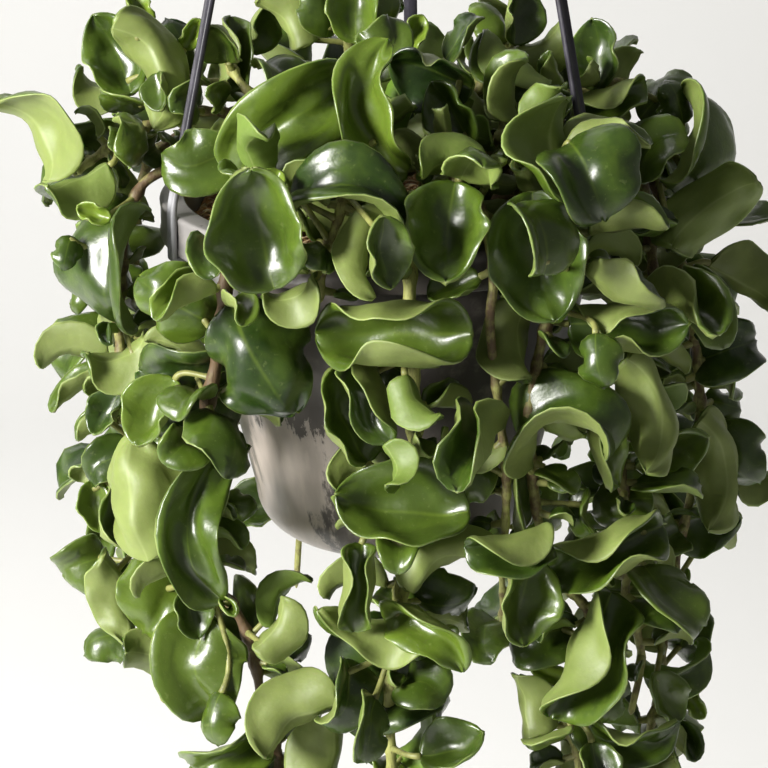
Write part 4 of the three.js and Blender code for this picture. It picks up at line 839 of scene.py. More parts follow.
# Meshes. Every surface is a grid of points, rows by columns, whose faces look to the side that a
# row's direction crossed with a column's direction gives.
class Piece:
    """Gathers surfaces with their materials' numbers and point attributes into one mesh."""

    def __init__(self):
        self.points, self.quads, self.triangles, self.looks, self.fields = [], [], [], [], []
        self.count = 0

    def add(self, points, quads, triangles=(), look=0, **fields):
        """Adds a surface with the number of its material and its values for point attributes."""
        triangles = np.reshape(triangles, (-1, 3)).astype(int)
        self.points.append(points)
        self.quads.append(quads + self.count)
        self.triangles.append(triangles + self.count)
        self.looks.append((look, len(quads), len(triangles)))
        self.fields.append((len(points), fields))
        self.count += len(points)

    def finish(self, name, materials, slot, replaces):
        """Makes the object: points in metres in the frame, smooth faces, one attribute a field, and the
        CAD node that it replaces."""
        mesh = bpy.data.meshes.new(name)
        points = (np.concatenate(self.points) - [0, 0, HANG_HEIGHT]) * MM
        quads, triangles = np.concatenate(self.quads), np.concatenate(self.triangles)
        corners = np.concatenate([quads.ravel(), triangles.ravel()])
        starts = np.concatenate([np.arange(len(quads)) * 4,
            len(quads) * 4 + np.arange(len(triangles)) * 3])
        look, quad_counts, triangle_counts = np.array(self.looks).T
        looks = np.concatenate([np.repeat(look, quad_counts), np.repeat(look, triangle_counts)])
        mesh.vertices.add(len(points))
        mesh.vertices.foreach_set("co", points.astype(np.float32).ravel())
        mesh.loops.add(len(corners))
        mesh.loops.foreach_set("vertex_index", corners.astype(np.int32))
        mesh.polygons.add(len(starts))
        mesh.polygons.foreach_set("loop_start", starts.astype(np.int32))
        mesh.polygons.foreach_set("material_index", looks.astype(np.int32))
        mesh.polygons.foreach_set("use_smooth", np.ones(len(starts), bool))
        for field in sorted({key for _, fields in self.fields for key in fields}):
            values = np.concatenate([np.broadcast_to(fields.get(field, (0.0, 0.0, 0.0)), (n, 3))
                for n, fields in self.fields])
            layer = mesh.attributes.new(field, "FLOAT_VECTOR", "POINT")
            layer.data.foreach_set("vector", values.astype(np.float32).ravel())
        mesh.update(calc_edges=True)
        mesh.validate()
        for material in materials:
            mesh.materials.append(material)
        piece = bpy.data.objects.new(name, mesh)
        bpy.context.scene.collection.objects.link(piece)
        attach(piece, "root")
        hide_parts(replaces)


def grid_faces(rows, columns, closed=True):
    """Quads between the rows of a grid, whose columns run once round if it is closed."""
    i = np.arange(rows - 1)[:, None] * columns
    j = np.arange(columns if closed else columns - 1)
    k = (j + 1) % columns
    return np.stack([i + j, i + columns + j, i + columns + k, i + k], -1).reshape(-1, 4)


def capped(rows, start, end):
    """A grid closed all round, with a point at either end joined to its first and last row."""
    count, columns = rows.shape[:2]
    points = np.concatenate([rows.reshape(-1, 3), [start], [end]])
    j = np.arange(columns)
    k = (j + 1) % columns
    last = (count - 1) * columns
    first_cap = np.stack([np.full(columns, count * columns), j, k], -1)
    last_cap = np.stack([last + j, np.full(columns, count * columns + 1), last + k], -1)
    return points, grid_faces(count, columns), np.concatenate([first_cap, last_cap])


def path_axes(path):
    """Directions along a path and two square to it, the first of which stays square to the plane
    that the path mostly lies in."""
    along = unit(np.gradient(path, axis=0))
    fixed = np.linalg.svd(along, full_matrices=False)[2][-1]
    side = unit(np.cross(fixed, along))
    return along, side, np.cross(along, side)


def tube(path, radii, sides):
    """Circles round the points of a path, of one radius each, closed by a point at both ends."""
    along, side, up = path_axes(path)
    a = -2 * math.pi * np.arange(sides) / sides
    ring = side[:, None] * np.cos(a)[:, None] + up[:, None] * np.sin(a)[:, None]
    rows = path[:, None] + ring * np.asarray(radii)[:, None, None]
    return capped(rows, path[0] - along[0] * radii[0] * 0.4, path[-1] + along[-1] * radii[-1] * 0.4)


def swept(path, out, section):
    """A flat outline of (across, outwards) points carried along a path, closed by flat ends. out is
    the outward direction at each point of the path."""
    along = unit(np.gradient(path, axis=0))
    across = np.cross(out, along)
    section = np.asarray(section, float)
    rows = path[:, None] + section[:, :1] * across[:, None] + section[:, 1:] * out[:, None]
    return capped(rows, path[0], path[-1])


def turned(profile, sides):
    """A profile of (radius, height) points turned round the upright axis, a row for each point."""
    profile = np.asarray(profile, float)
    a = -2 * math.pi * np.arange(sides) / sides
    r, z = profile[:, :1], profile[:, 1:]
    return np.stack([r * np.cos(a), r * np.sin(a), z + 0 * a], -1)


def arc(centre_r, centre_z, radius, start, end, count):
    """Points of a profile on a circle, between two angles in degrees."""
    a = np.linspace(start, end, count) * RAD
    return np.stack([centre_r + radius * np.cos(a), centre_z + radius * np.sin(a)], -1)


def bumps(points, pitch, seed):
    """Smooth noise from -1 to 1: at each corner of a cubic lattice a number from a hashed sine, eased
    between the eight corners round each point."""
    p = np.asarray(points) / pitch + 1000
    low = np.floor(p)
    f = p - low
    f = f * f * (3 - 2 * f)
    total = 0
    for corner in np.ndindex(2, 2, 2):
        at = low + corner
        value = np.sin(at @ [12.9898, 78.233, 37.719] + seed * 7.13) * 43758.5453
        weight = np.prod(np.where(corner, f, 1 - f), -1)
        total = total + weight * (value - np.floor(value))
    return 2 * total - 1


# Leaf meshes: for each size the number of rows, the steps of half a section, and the steps at which
# it has a column
BLADE_GRIDS = {
    "long": (26, 24, [0, 2, 6, 11, 16, 20, 23, 24]),
    "middle": (20, 24, [0, 2, 7, 13, 19, 23, 24]),
    "short": (16, 12, [0, 3, 7, 11, 12]),
    "small": (12, 12, [0, 4, 9, 11, 12]),
}


def blade_grid(leaf):
    """The grid for a leaf: a small one for each leaf of the rule, and otherwise by its length."""
    if leaf.rule or leaf.length < 28:
        return BLADE_GRIDS["small"]
    if leaf.length < 36:
        return BLADE_GRIDS["short"]
    return BLADE_GRIDS["middle" if leaf.length < 52 else "long"]


SWELL, RIPPLE = 0.015, 0.05
GROOVE, RIB, RIB_WIDTH = 0.45, 0.6, 1.5


def blade_waves(length, u, v, draws):
    """How far the blade's middle surface is lifted: the sum of two slanted sine waves that are flat at
    the margin, and a sine ripple along the margin that fades inwards with the cube of v."""
    swell = np.sin(2 * math.pi * (2.1 * u + 0.7 * v + draws[0]))
    swell = swell + np.sin(2 * math.pi * (1.3 * v - 1.7 * u + draws[1]))
    swell = swell * length * SWELL * (1 - v**4) * np.minimum(1, 6 * u)
    ripple = np.sin(2 * math.pi * (1.7 * u + draws[2] + np.where(v > 0, 0.4, 0)))
    return swell + length * RIPPLE * ripple * abs(v) ** 3 * np.sqrt(u * (1 - u)) * 2


def blade_mesh(leaf, thickness, rim_width, seed):
    """A closed blade. Its middle surface is pushed out to both sides by half a thickness that falls
    off towards the margin as the root of 1 - v^12, with a groove over the midrib, a rib under it and
    shallow waves. Field blade holds u, v and the side, which is 1 above, -1 below and 0 at the rim."""
    rows, steps, picks = blade_grid(leaf)
    u = (1 - np.cos(np.linspace(0, math.pi, rows + 2)[1:-1])) / 2
    surface = blade_surface(leaf.length, leaf.form, u, steps)
    picks = np.array([steps - n for n in picks[::-1]] + [steps + n for n in picks[1:]])
    v = (picks - steps) / steps
    normal = unit(np.cross(np.gradient(surface, axis=0), np.gradient(surface, axis=1)))[:, picks]
    middle = surface[:, picks]
    for edge, inner in ((0, 1), (-1, -2)):
        rim = middle[:, inner] - middle[:, edge]
        reach = np.linalg.norm(rim, axis=-1, keepdims=True)
        middle[:, inner] = middle[:, edge] + rim * np.minimum(1, rim_width / np.maximum(reach, 1e-6))
    uu, vv = u[:, None], v[None]
    wave = blade_waves(leaf.length, uu, vv, drawn(seed))
    half = thickness / 2 * (1 - 0.3 * vv**2) * np.sqrt(1 - vv**12) * (1 - 0.35 * uu**3)
    wide = half_width(leaf.length, leaf.form, uu)
    rib = np.exp(-((vv * wide / RIB_WIDTH) ** 2)) * (1 - uu) ** 0.6
    above = middle + normal * (wave + half - GROOVE * rib)[..., None]
    below = middle + normal * (wave - half - RIB * rib)[..., None]
    rim_points = middle + normal * wave[..., None]
    above[:, [0, -1]], below[:, [0, -1]] = rim_points[:, [0, -1]], rim_points[:, [0, -1]]
    loop = np.concatenate([above, below[:, -2:0:-1]], 1)
    points, quads, triangles = capped(loop, *midrib(leaf.length, leaf.form)[[0, -1]])
    across = np.concatenate([v, v[-2:0:-1]])
    side = np.concatenate([[0], np.ones(len(v) - 2), [0], -np.ones(len(v) - 2)])
    field = np.stack(np.broadcast_arrays(uu, across, side), -1).reshape(-1, 3)
    field = np.concatenate([field, [[0, 0, 0], [1, 0, 0]]])
    return leaf.place(points), quads, triangles, field


ACROSS_STEM = 0.35
MIDDLE_OF_RIB = slice(4, 21)


def petiole_mesh(leaf, radius):
    """A tube along the petiole, thicker where it leaves the stem and where it meets the blade. For a
    blade that lies across its stem it runs straight to the nearest point of the midrib."""
    path = smooth_path(leaf.petiole, 12)
    stalk = unit(leaf.base - leaf.petiole[0])
    if stalk @ leaf.start < ACROSS_STEM:
        rib = leaf.place(midrib(leaf.length, leaf.form)[MIDDLE_OF_RIB])
        to = rib[np.linalg.norm(rib - leaf.petiole[0], axis=1).argmin()]
        path = leaf.petiole[0] + np.linspace(0, 1, 9)[:, None] * (to - leaf.petiole[0])
    at = arc_lengths(path)
    foot, top = np.exp(-((at / 3) ** 2)), np.exp(-(((at[-1] - at) / 3.5) ** 2))
    return tube(path, radius * (1 + 0.55 * foot + 0.25 * top), 8)


# How green a stem is from 0 to 1, and how thick against the rest, where the photograph shows it
STEM_GREEN, OTHER_GREEN = {"front": 1, "left_front": 0.05}, 0.45
STEM_GIRTH = {"front": 1.22, "left_front": 1.15}
STEM_SIDES = 9


def stem_mesh(name, roots, radius):
    """A tube along the stem that thins evenly from soil to tip, with a bell-shaped swelling at each
    petiole's root, slow bumps and a rounded end. Field wood holds the share of the way along it and how
    green the stem is."""
    path = smooth_path(stem_points(STEMS[name]), 220)
    at = arc_lengths(path)
    share = at / at[-1]
    radius = radius * STEM_GIRTH.get(name, 1)
    radii = radius * (1.12 - 0.4 * share)
    for root in roots:
        away = at[np.linalg.norm(path - root, axis=1).argmin()] - at
        radii = radii + 0.28 * radius * np.exp(-((away / 2.6) ** 2))
    radii = np.minimum(radii, radius * 1.5)
    radii = radii * (1 + 0.05 * bumps(path, 4, 3))
    radii = radii * np.sqrt(np.clip(1 - ((at - at[-1] + 2.5) / 2.6).clip(0) ** 2, 0.02, 1))
    points, quads, triangles = tube(path, radii, STEM_SIDES)
    field = np.concatenate([np.repeat(share, STEM_SIDES), [0, 1]])
    green = np.full(len(field), STEM_GREEN.get(name, OTHER_GREEN))
    return points, quads, triangles, np.stack([field, green, 0 * field], -1)


# Materials
class Value:
    """A shader socket that adds a Math node for each operator used on it."""

    def __init__(self, look, socket):
        self.look, self.socket = look, socket

    def math(self, operation, *operands):
        return self.look.add("ShaderNodeMath", {"operation": operation}, dict(enumerate(operands)))

    def __add__(self, other):
        return self.math("ADD", self, other)

    def __sub__(self, other):
        return self.math("SUBTRACT", self, other)

    def __rsub__(self, other):
        return self.math("SUBTRACT", other, self)

    def __mul__(self, other):
        return self.math("MULTIPLY", self, other)

    def __abs__(self):
        return self.math("ABSOLUTE", self)

    __radd__, __rmul__ = __add__, __mul__

    def step(self, low, high):
        """0 below low, 1 above high, and eased between."""
        return self.look.add("ShaderNodeMapRange", {"interpolation_type": "SMOOTHSTEP"},
            {"Value": self, "From Min": low, "From Max": high})


class Look:
    """A material and the nodes in it."""

    def __init__(self, name):
        self.material = bpy.data.materials.new(name)
        self.material.use_nodes = True
        self.tree = self.material.node_tree
        self.tree.nodes.clear()

    def add(self, kind, settings=None, values=None, output=0):
        """Adds a node: its settings first, then the values or links of its sockets."""
        node = self.tree.nodes.new(kind)
        for key, value in (settings or {}).items():
            setattr(node, key, value)
        for key, value in (values or {}).items():
            if isinstance(value, Value):
                self.tree.links.new(value.socket, node.inputs[key])
            else:
                node.inputs[key].default_value = value
        return Value(self, node.outputs[output]) if len(node.outputs) else None

    def mix(self, share, a, b):
        """Colour a where share is 0 and b where it is 1."""
        return self.add("ShaderNodeMix", {"data_type": "RGBA"}, {0: share, 6: a, 7: b}, 2)

    def noise(self, where, scale, detail=3, roughness=0.5, distortion=0.0):
        return self.add("ShaderNodeTexNoise", {"noise_dimensions": "3D"}, {"Vector": where,
            "Scale": scale, "Detail": detail, "Roughness": roughness, "Distortion": distortion})

    def place(self):
        return self.add("ShaderNodeTexCoord", output="Object")

    def stretched(self, where, scale):
        return self.add("ShaderNodeMapping", values={"Vector": where, "Scale": scale})

    def part(self, vector, number):
        """One of the three numbers of a vector."""
        return self.add("ShaderNodeSeparateXYZ", values={"Vector": vector}, output=number)

    def field(self, name):
        """The three numbers of a point attribute."""
        vector = self.add("ShaderNodeAttribute", {"attribute_name": name}, output="Vector")
        return [self.part(vector, number) for number in range(3)]

    def bump(self, height, strength, distance):
        return self.add("ShaderNodeBump", values={"Height": height, "Strength": strength,
            "Distance": distance})

    def finish(self, **values):
        """The surface itself; each value goes to the shader socket of that name."""
        names = {key.replace("_", " "): value for key, value in values.items()}
        shader = self.add("ShaderNodeBsdfPrincipled", values=names)
        self.add("ShaderNodeOutputMaterial", values={"Surface": shader})
        return self.material


def shade(colour, factor, tint=(1, 1, 1)):
    """A colour made lighter or darker and tinted, as four numbers."""
    return (*(min(c * factor * t, 1) for c, t in zip(colour, tint)), 1)


def leaf_look(settings):
    """Glossy dark green above with paler blotches and painted shade towards the midrib, matte pale green
    below with a lighter rib, and a broken cream line round the margin that is partly a painted
    highlight on the rolled edge. Every leaf has its own tone, age and glow, and dimples mottle both
    sides and dent them."""
    look = Look("leaf")
    place = look.place()
    u, v, side = look.field("blade")
    tone, age, glow = look.field("tone")
    cloud = look.noise(place, 55, 3, 0.55)
    fleck = look.noise(place, 420, 2, 0.6)
    dimple = look.noise(place, 130, 2, 0.5)
    cream = settings.rim_colour
    above = look.mix(tone, shade(settings.dark, 1), shade(settings.bright, 1))
    above = look.mix((cloud - 0.42).step(0, 0.25) * 0.45, above, shade(settings.bright, 1.2))
    # Painted shade: darker towards the midrib, in the hollow of the fold
    above = look.mix((1 - abs(v).step(0.05, 0.8)) * 0.4, above, shade(settings.dark, 0.7))
    above = look.mix((dimple - 0.48).step(0, 0.2) * 0.4, above, shade(settings.dark, 0.8))
    above = look.mix(age, above, shade(settings.young, 1))
    rib = 1 - abs(v).step(0.0, 0.05)
    above = look.mix(rib * (1 - u) * 0.35, above, shade(settings.young, 1.1))
    pale = tone * 0.6 + (cloud - 0.5) * 0.9 + (dimple - 0.5) * 0.9 + 0.15
    below = look.mix(pale, shade(settings.under, 0.8), shade(settings.under, 1.25))
    below = look.mix(glow, below, shade(settings.lime, 1))
    below = look.mix(rib * 0.4, below, shade(cream, 0.9))
    green = look.mix(side.step(-0.15, 0.15), below, above)
    rim = 1 - abs(side).step(0.3, 0.75)
    # Pale cream margin, broken along its length: partly the leaf's own colour, partly a painted highlight
    # where light catches the rolled edge
    colour = look.mix(rim * (0.14 + (cloud - 0.4).step(0, 0.24) * 0.46), green, shade(cream, 1))
    colour = look.mix((fleck - 0.62).step(0, 0.1) * 0.12, colour, shade(cream, 0.9))
    gloss = side.step(-0.2, 0.6)
    fine = look.noise(place, 900, 2, 0.5)
    normal = look.bump(cloud * 0.7 + dimple * 0.35 + fine * 0.1, 0.4, 0.0016)
    rough = 0.52 - gloss * 0.19 + (cloud - 0.5) * 0.16
    return look.finish(Base_Color=colour, Roughness=rough, Normal=normal, Coat_Weight=gloss * 0.26,
        Coat_Roughness=0.2, Subsurface_Weight=0.22, Subsurface_Radius=(0.9, 1.6, 0.35),
        Subsurface_Scale=0.0016)


def stem_look(settings):
    """Brown bark with fine cracks, turning green-tan in patches towards the tip and on green stems."""
    look = Look("stem")
    place = look.place()
    share, tone, _ = look.field("wood")
    patches = look.noise(place, 160, 4, 0.6)
    grain = look.noise(look.stretched(place, (1, 1, 0.25)), 900, 3, 0.6)
    green = (share * 0.3 + tone * 0.7 + (patches - 0.5) * 1.4).step(0.25, 0.75)
    colour = look.mix(green, shade(settings.wood, 1), shade(settings.green, 1))
    colour = look.mix((grain - 0.5).step(0, 0.15) * 0.4, colour, shade(settings.wood, 0.45))
    normal = look.bump(patches + grain, 0.5, 0.0006)
    return look.finish(Base_Color=colour, Roughness=0.6 + (patches - 0.5) * 0.3, Normal=normal)


def petiole_look(settings):
    """Smooth light green with brownish patches."""
    look = Look("petiole")
    place = look.place()
    patches = look.noise(place, 220, 3, 0.6)
    colour = look.mix(patches.step(0.4, 0.7), shade(settings.green, 0.8), shade(settings.green, 0.45))
    return look.finish(Base_Color=colour, Roughness=0.42 + patches * 0.1,
        Normal=look.bump(patches, 0.2, 0.0005), Subsurface_Weight=0.15,
        Subsurface_Radius=(0.9, 1.4, 0.4), Subsurface_Scale=0.001)


def pot_look(settings):
    """Moulded pale plastic with soft upright streaks, dust and a dull sheen. Painted shade of the leaves
    above makes it a darker, cooler grey near the rim, a painted shadow of the leaves with ragged, flaky
    edges darkens it from the middle to the right, and it is a darker grey at the far left. The three
    masks are in metres up and across, with ragged edges."""
    look = Look("pot_plastic")
    place = look.place()
    streak = look.noise(look.stretched(place, (1, 1, 0.05)), 46, 3, 0.55)
    fine = look.noise(look.stretched(place, (1, 1, 0.08)), 240, 3, 0.6)
    dust = look.noise(place, 60, 5, 0.65)
    grain = look.noise(place, 2200, 2, 0.5)
    colour = look.mix(streak.step(0.32, 0.68), shade(settings.colour, 0.72), shade(settings.colour, 1.12))
    colour = look.mix((fine - 0.5).step(0, 0.22) * 0.3, colour, shade(settings.colour, 1.3))
    across, height = look.part(place, 0), look.part(place, 2)
    flake = look.noise(look.stretched(place, (1, 1, 0.35)), 95, 6, 0.72)
    edge = (streak - 0.5) * 0.03 + (flake - 0.5) * 0.05
    # Painted shade of the leaves above: the upper wall and the rim band turn a darker, cooler grey
    high = (height + edge).step(-0.57, -0.55)
    # Painted shadow of the leaves, from the middle to the right, its ragged edge moving left near the rim
    painted_shadow = (across + edge + high * 0.034).step(-0.03, -0.024)
    # A darker grey band at the far left of the pot
    far_left = 1 - (across + edge * 0.6).step(-0.06, -0.056)
    # The painted shadow's colour, streaked like the plastic
    dark = look.mix(streak.step(0.3, 0.7), shade(settings.painted_shadow, 0.7), shade(settings.painted_shadow, 1.1))
    # Paints that shade onto the upper wall and the rim band
    colour = look.mix(high * 0.9, colour, shade(settings.colour, 0.46, (0.92, 1.02, 1.14)))
    # Paints the far left a darker grey, using the painted shadow's colour made lighter
    colour = look.mix(far_left * (1 - high) * 0.8, colour, shade(settings.painted_shadow, 2.6, (0.96, 1, 0.97)))
    # Paints the leaves' shadow over the middle and the right of the pot
    colour = look.mix(painted_shadow * 0.92, colour, dark)
    colour = look.mix((dust - 0.55).step(0, 0.2) * 0.25, colour, shade(settings.dust, 1))
    rough = 0.36 + (streak - 0.5) * 0.25 + (dust - 0.5) * 0.2
    normal = look.bump(fine * 0.6 + grain * 0.2, 0.2, 0.0006)
    return look.finish(Base_Color=colour, Roughness=rough, Normal=normal)


def hanger_look(settings):
    """Dark moulded plastic with fine scratches along it, and painted light that turns it pale grey beside
    the pot's rim.
    """
    look = Look("hanger_plastic")
    place = look.place()
    scratch = look.noise(look.stretched(place, (1, 1, 0.06)), 700, 3, 0.6)
    patch = look.noise(place, 90, 4, 0.6)
    colour = look.mix(patch.step(0.35, 0.7), shade(settings.colour, 0.8), shade(settings.colour, 1.5))
    colour = look.mix((scratch - 0.55).step(0, 0.15) * 0.35, colour, shade(settings.colour, 3))
    # Painted light: the arms beside the rim are painted pale grey, as if lit where the rest lie in shade
    low = 1 - (look.part(place, 2) + (patch - 0.5) * 0.01).step(-0.475, -0.455)
    colour = look.mix(low * 0.9, colour, shade(settings.painted_light, 1))
    normal = look.bump(scratch + patch * 0.5, 0.25, 0.0005)
    return look.finish(Base_Color=colour, Roughness=0.34 + patch * 0.22, Normal=normal)


def soil_look(settings):
    """Dark peat with rusty brown fibres and pale crumbs."""
    look = Look("soil")
    place = look.place()
    lump = look.noise(place, 150, 6, 0.7)
    crumb = look.noise(place, 620, 4, 0.7)
    strand = look.noise(look.stretched(place, (1, 0.25, 1)), 380, 4, 0.65, 1.5)
    colour = look.mix(lump.step(0.35, 0.65), shade(settings.dark, 1), shade(settings.light, 1))
    colour = look.mix((strand - 0.5).step(0, 0.12) * 0.6, colour, shade(settings.light, 1.6))
    colour = look.mix((crumb - 0.66).step(0, 0.05) * 0.8, colour, shade(settings.crumb, 1))
    normal = look.bump(lump + crumb * 0.6 + strand * 0.5, 0.9, 0.0022)
    return look.finish(Base_Color=colour, Roughness=0.92, Normal=normal)


def fibre_look(settings):
    """Dry husk fibre and bark in rusty tans."""
    look = Look("husk_fibre")
    patch = look.noise(look.place(), 130, 3, 0.6)
    colour = look.mix(patch.step(0.35, 0.65), shade(settings.light, 1.2), shade(settings.crumb, 0.8))
    return look.finish(Base_Color=colour, Roughness=0.85, Normal=look.bump(patch, 0.4, 0.0005))


def crumb_look(settings):
    """Pale, faintly mottled crumbs of bark and grit."""
    look = Look("crumb")
    grain = look.noise(look.place(), 500, 4, 0.6)
    colour = look.mix(grain.step(0.35, 0.7), shade(settings.crumb, 0.7), shade(settings.crumb, 1.1))
    return look.finish(Base_Color=colour, Roughness=0.8 + grain * 0.1)


def stage_look(settings):
    """Plain pale paint, a little uneven."""
    look = Look("stage")
    cloud = look.noise(look.place(), 1.2, 2, 0.4)
    colour = look.mix(cloud * 0.4, shade(settings.colour, 1), shade(settings.colour, 0.97))
    return look.finish(Base_Color=colour, Roughness=0.85)


def paint(red, green, blue):
    """A display colour from 0 to 255 as the linear colour that shaders take."""
    shares = np.array([red, green, blue]) / 255
    return tuple(np.where(shares < 0.04045, shares / 12.92, ((shares + 0.055) / 1.055) ** 2.4))


def colour_property(name, description, *levels):
    """A colour that a user can change, whose default is given as display levels."""
    return bpy.props.FloatVectorProperty(name=name, description=description, subtype="COLOR", size=3,
        default=paint(*levels), min=0, max=1)


def length_property(name, description, default):
    """A length in metres that a user can change."""
    return bpy.props.FloatProperty(name=name, description=description, subtype="DISTANCE",
        unit="LENGTH", default=default, min=0)


class PotSettings(bpy.types.PropertyGroup):
    wall: length_property("Wall", "Thickness of the pot's wall", 0.0022)
    sides: bpy.props.IntProperty(name="Sides", description="Faces round the pot", default=132, min=24)
    colour: colour_property("Plastic", "Colour of the pot", 202, 190, 180)
    # The colour of the painted shadow that the leaves cast on the pot
    painted_shadow: colour_property("Painted shadow", "Colour of the darker, worn part", 84, 78, 74)
    dust: colour_property("Dust", "Colour of the dusty film on it", 214, 204, 188)


class SoilSettings(bpy.types.PropertyGroup):
    fibres: bpy.props.IntProperty(name="Fibres", description="Loose fibres on the soil", default=900)
    crumbs: bpy.props.IntProperty(name="Crumbs", description="Loose crumbs on the soil", default=90)
    dark: colour_property("Peat", "Colour of the soil's hollows", 52, 36, 24)
    light: colour_property("Husk", "Colour of the soil's fibres", 164, 116, 66)
    crumb: colour_property("Crumb", "Colour of the palest crumbs", 214, 196, 156)


class HangerSettings(bpy.types.PropertyGroup):
    width: length_property("Arm width", "Width of each arm", 0.006)
    thickness: length_property("Arm thickness", "Thickness of each arm", 0.0024)
    colour: colour_property("Plastic", "Colour of the hanger", 50, 48, 56)
    # The colour of the painted light on the arms beside the rim
    painted_light: colour_property("Painted light", "Colour of the arms beside the rim", 166, 166, 170)


class StemSettings(bpy.types.PropertyGroup):
    radius: length_property("Stem radius", "Radius of a stem halfway along", 0.0021)
    petiole: length_property("Petiole radius", "Radius of a petiole halfway along", 0.00125)
    wood: colour_property("Bark", "Colour of the old bark", 98, 78, 54)
    green: colour_property("Green", "Colour of the young stem and petioles", 158, 160, 92)


class LeafSettings(bpy.types.PropertyGroup):
    thickness: length_property("Thickness", "Thickness of a large leaf at its midrib", 0.0026)
    rim: length_property("Rim", "Width of the pale line round a leaf", 0.0009)
    dark: colour_property("Dark", "Upper side of the darkest leaves", 33, 54, 15)
    bright: colour_property("Bright", "Upper side of the brightest leaves", 84, 106, 30)
    young: colour_property("Young", "Upper side of the youngest leaves", 120, 142, 48)
    under: colour_property("Underside", "Underside of the leaves", 120, 133, 70)
    lime: colour_property("Lime", "Underside of the most vivid leaves", 90, 122, 24)
    # Partly the margin's own colour, partly a painted highlight on the rolled edge
    rim_colour: colour_property("Rim colour", "The pale line round a leaf", 160, 174, 108)


class StageSettings(bpy.types.PropertyGroup):
    colour: colour_property("Paint", "Colour of floor and backdrop", 244, 244, 242)
    key: bpy.props.FloatProperty(name="Key light", description="Power of the window light", default=115,
        unit="POWER")
    back: bpy.props.FloatProperty(name="Backdrop light", description="Power of the light on the backdrop",
        default=57, unit="POWER")
    ambient: bpy.props.FloatProperty(name="Room light", description="Strength of the light all round",
        default=0.18)


def pot_profile(wall):
    """From the edge of the flat base out round its rounded corner, up the slanted wall, out under the
    rim and down inside its band, round the band and over the rim, and back down inside."""
    t = np.linspace(0, math.pi / 2, 12)
    corner = np.stack([BASE + (CORNER_TOP - BASE) * np.sin(t),
        -POT_HEIGHT + CORNER_HEIGHT * (1 - np.cos(t))], -1)
    inner = np.stack([BASE - 1 + (CORNER_TOP - wall - BASE + 1) * np.sin(t),
        -POT_HEIGHT + wall + CORNER_HEIGHT * (1 - np.cos(t))], -1)
    rise = np.linspace(0, 1, 14)[1:, None]
    top = np.array([WALL_TOP, -wall - 1.6])
    parts = [corner, corner[-1] + rise * (top - corner[-1]),
        arc(WALL_TOP + 1.6, -wall - 1.6, 1.6, 180, 90, 5)[1:],
        arc(RIM_RADIUS - wall - 1, -wall - 1, 1, 90, 0, 4),
        [[RIM_RADIUS - wall, -BAND_HEIGHT + 3], [RIM_RADIUS - wall, -BAND_HEIGHT + 0.8]],
        arc(RIM_RADIUS - wall / 2, -BAND_HEIGHT + 0.8, wall / 2, 180, 360, 9)[1:],
        [[RIM_RADIUS, -BAND_HEIGHT + 2.6], [RIM_RADIUS - 0.35, -BAND_HEIGHT + 3.4],
            [RIM_RADIUS - 0.35, -3.4], [RIM_RADIUS - 0.1, -2.6]],
        arc(RIM_RADIUS - 1.6, -1.6, 1.6, 10, 90, 6),
        arc(WALL_TOP - wall + 1.2, -1.2, 1.2, 90, 180, 5),
        inner[-1] + (1 - rise[:-1]) * (np.array([WALL_TOP - wall, -1.4]) - inner[-1]), inner[::-1]]
    return np.concatenate([np.asarray(p, float) for p in parts])


def pot_base(wall, sides):
    """The flat base with its ring of holes, in six like sectors. In each, rings lie along straight
    lines from the hole's middle: over the underside in to the hole, up its round wall, and over the
    upper side out to the sector's edge."""
    span = 2 * math.pi / DRAIN_COUNT
    a = np.linspace(-span / 2, span / 2, sides // DRAIN_COUNT + 1)
    rays = np.stack([np.cos(a), np.sin(a)], -1)
    hole = np.array([DRAIN_CIRCLE, 0])
    rings = []
    for outer, height, shares in ((BASE, -POT_HEIGHT, (1, 0.7, 0.4, 0.12, 0)),
            (BASE - 1, -POT_HEIGHT + wall, (0, 0.12, 0.4, 0.7, 1))):
        r = np.linspace(outer, 0, 9)[1:, None]
        edge = np.concatenate([outer * rays, r * rays[-1], r[-2::-1] * rays[0]])
        away = unit(edge - hole) * DRAIN_RADIUS + hole
        for share in shares:
            rings.append(np.column_stack([away + share * (edge - away), np.full(len(edge), height)]))
    rows = np.stack(rings)
    points, quads = [], []
    for k in range(DRAIN_COUNT):
        c, s = math.cos(k * span), math.sin(k * span)
        points.append(rows.reshape(-1, 3) @ np.array([[c, s, 0], [-s, c, 0], [0, 0, 1]]))
        quads.append(grid_faces(*rows.shape[:2]) + k * rows.shape[0] * rows.shape[1])
    return np.concatenate(points), np.concatenate(quads)


def welded(parts):
    """Surfaces joined into one, with a single point where several lie within a micrometre."""
    starts = np.cumsum([0] + [len(points) for points, _ in parts])
    points = np.concatenate([points for points, _ in parts])
    quads = np.concatenate([quads + start for (_, quads), start in zip(parts, starts)])
    places = np.floor(points * 1000 + 0.371)
    _, first, index = np.unique(places, axis=0, return_index=True, return_inverse=True)
    return points[first], index.reshape(-1)[quads]


class MakePot(bpy.types.Operator):
    """Make the hanging pot with its rim band and drain holes"""

    bl_idname = "plant.make_pot"
    bl_label = "Make the pot"

    def execute(self, context):
        settings = context.scene.plant_pot
        wall = settings.wall / MM
        piece = Piece()
        rows = turned(pot_profile(wall), settings.sides)
        shell = rows.reshape(-1, 3), grid_faces(*rows.shape[:2])
        piece.add(*welded([shell, pot_base(wall, settings.sides)]))
        piece.finish("pot_shell", [pot_look(settings)], "pot_plastic", "pot")
        return {"FINISHED"}


# The heap's middle, rise and reach, and the height, size and seed of each kind of lump
SOIL_HEAP = (-76, -32, 6.5, 26)
SOIL_LUMPS = ((1.5, 14, 1), (0.9, 5.5, 2), (0.5, 2.4, 4))
SOIL_CROWN = 2.2


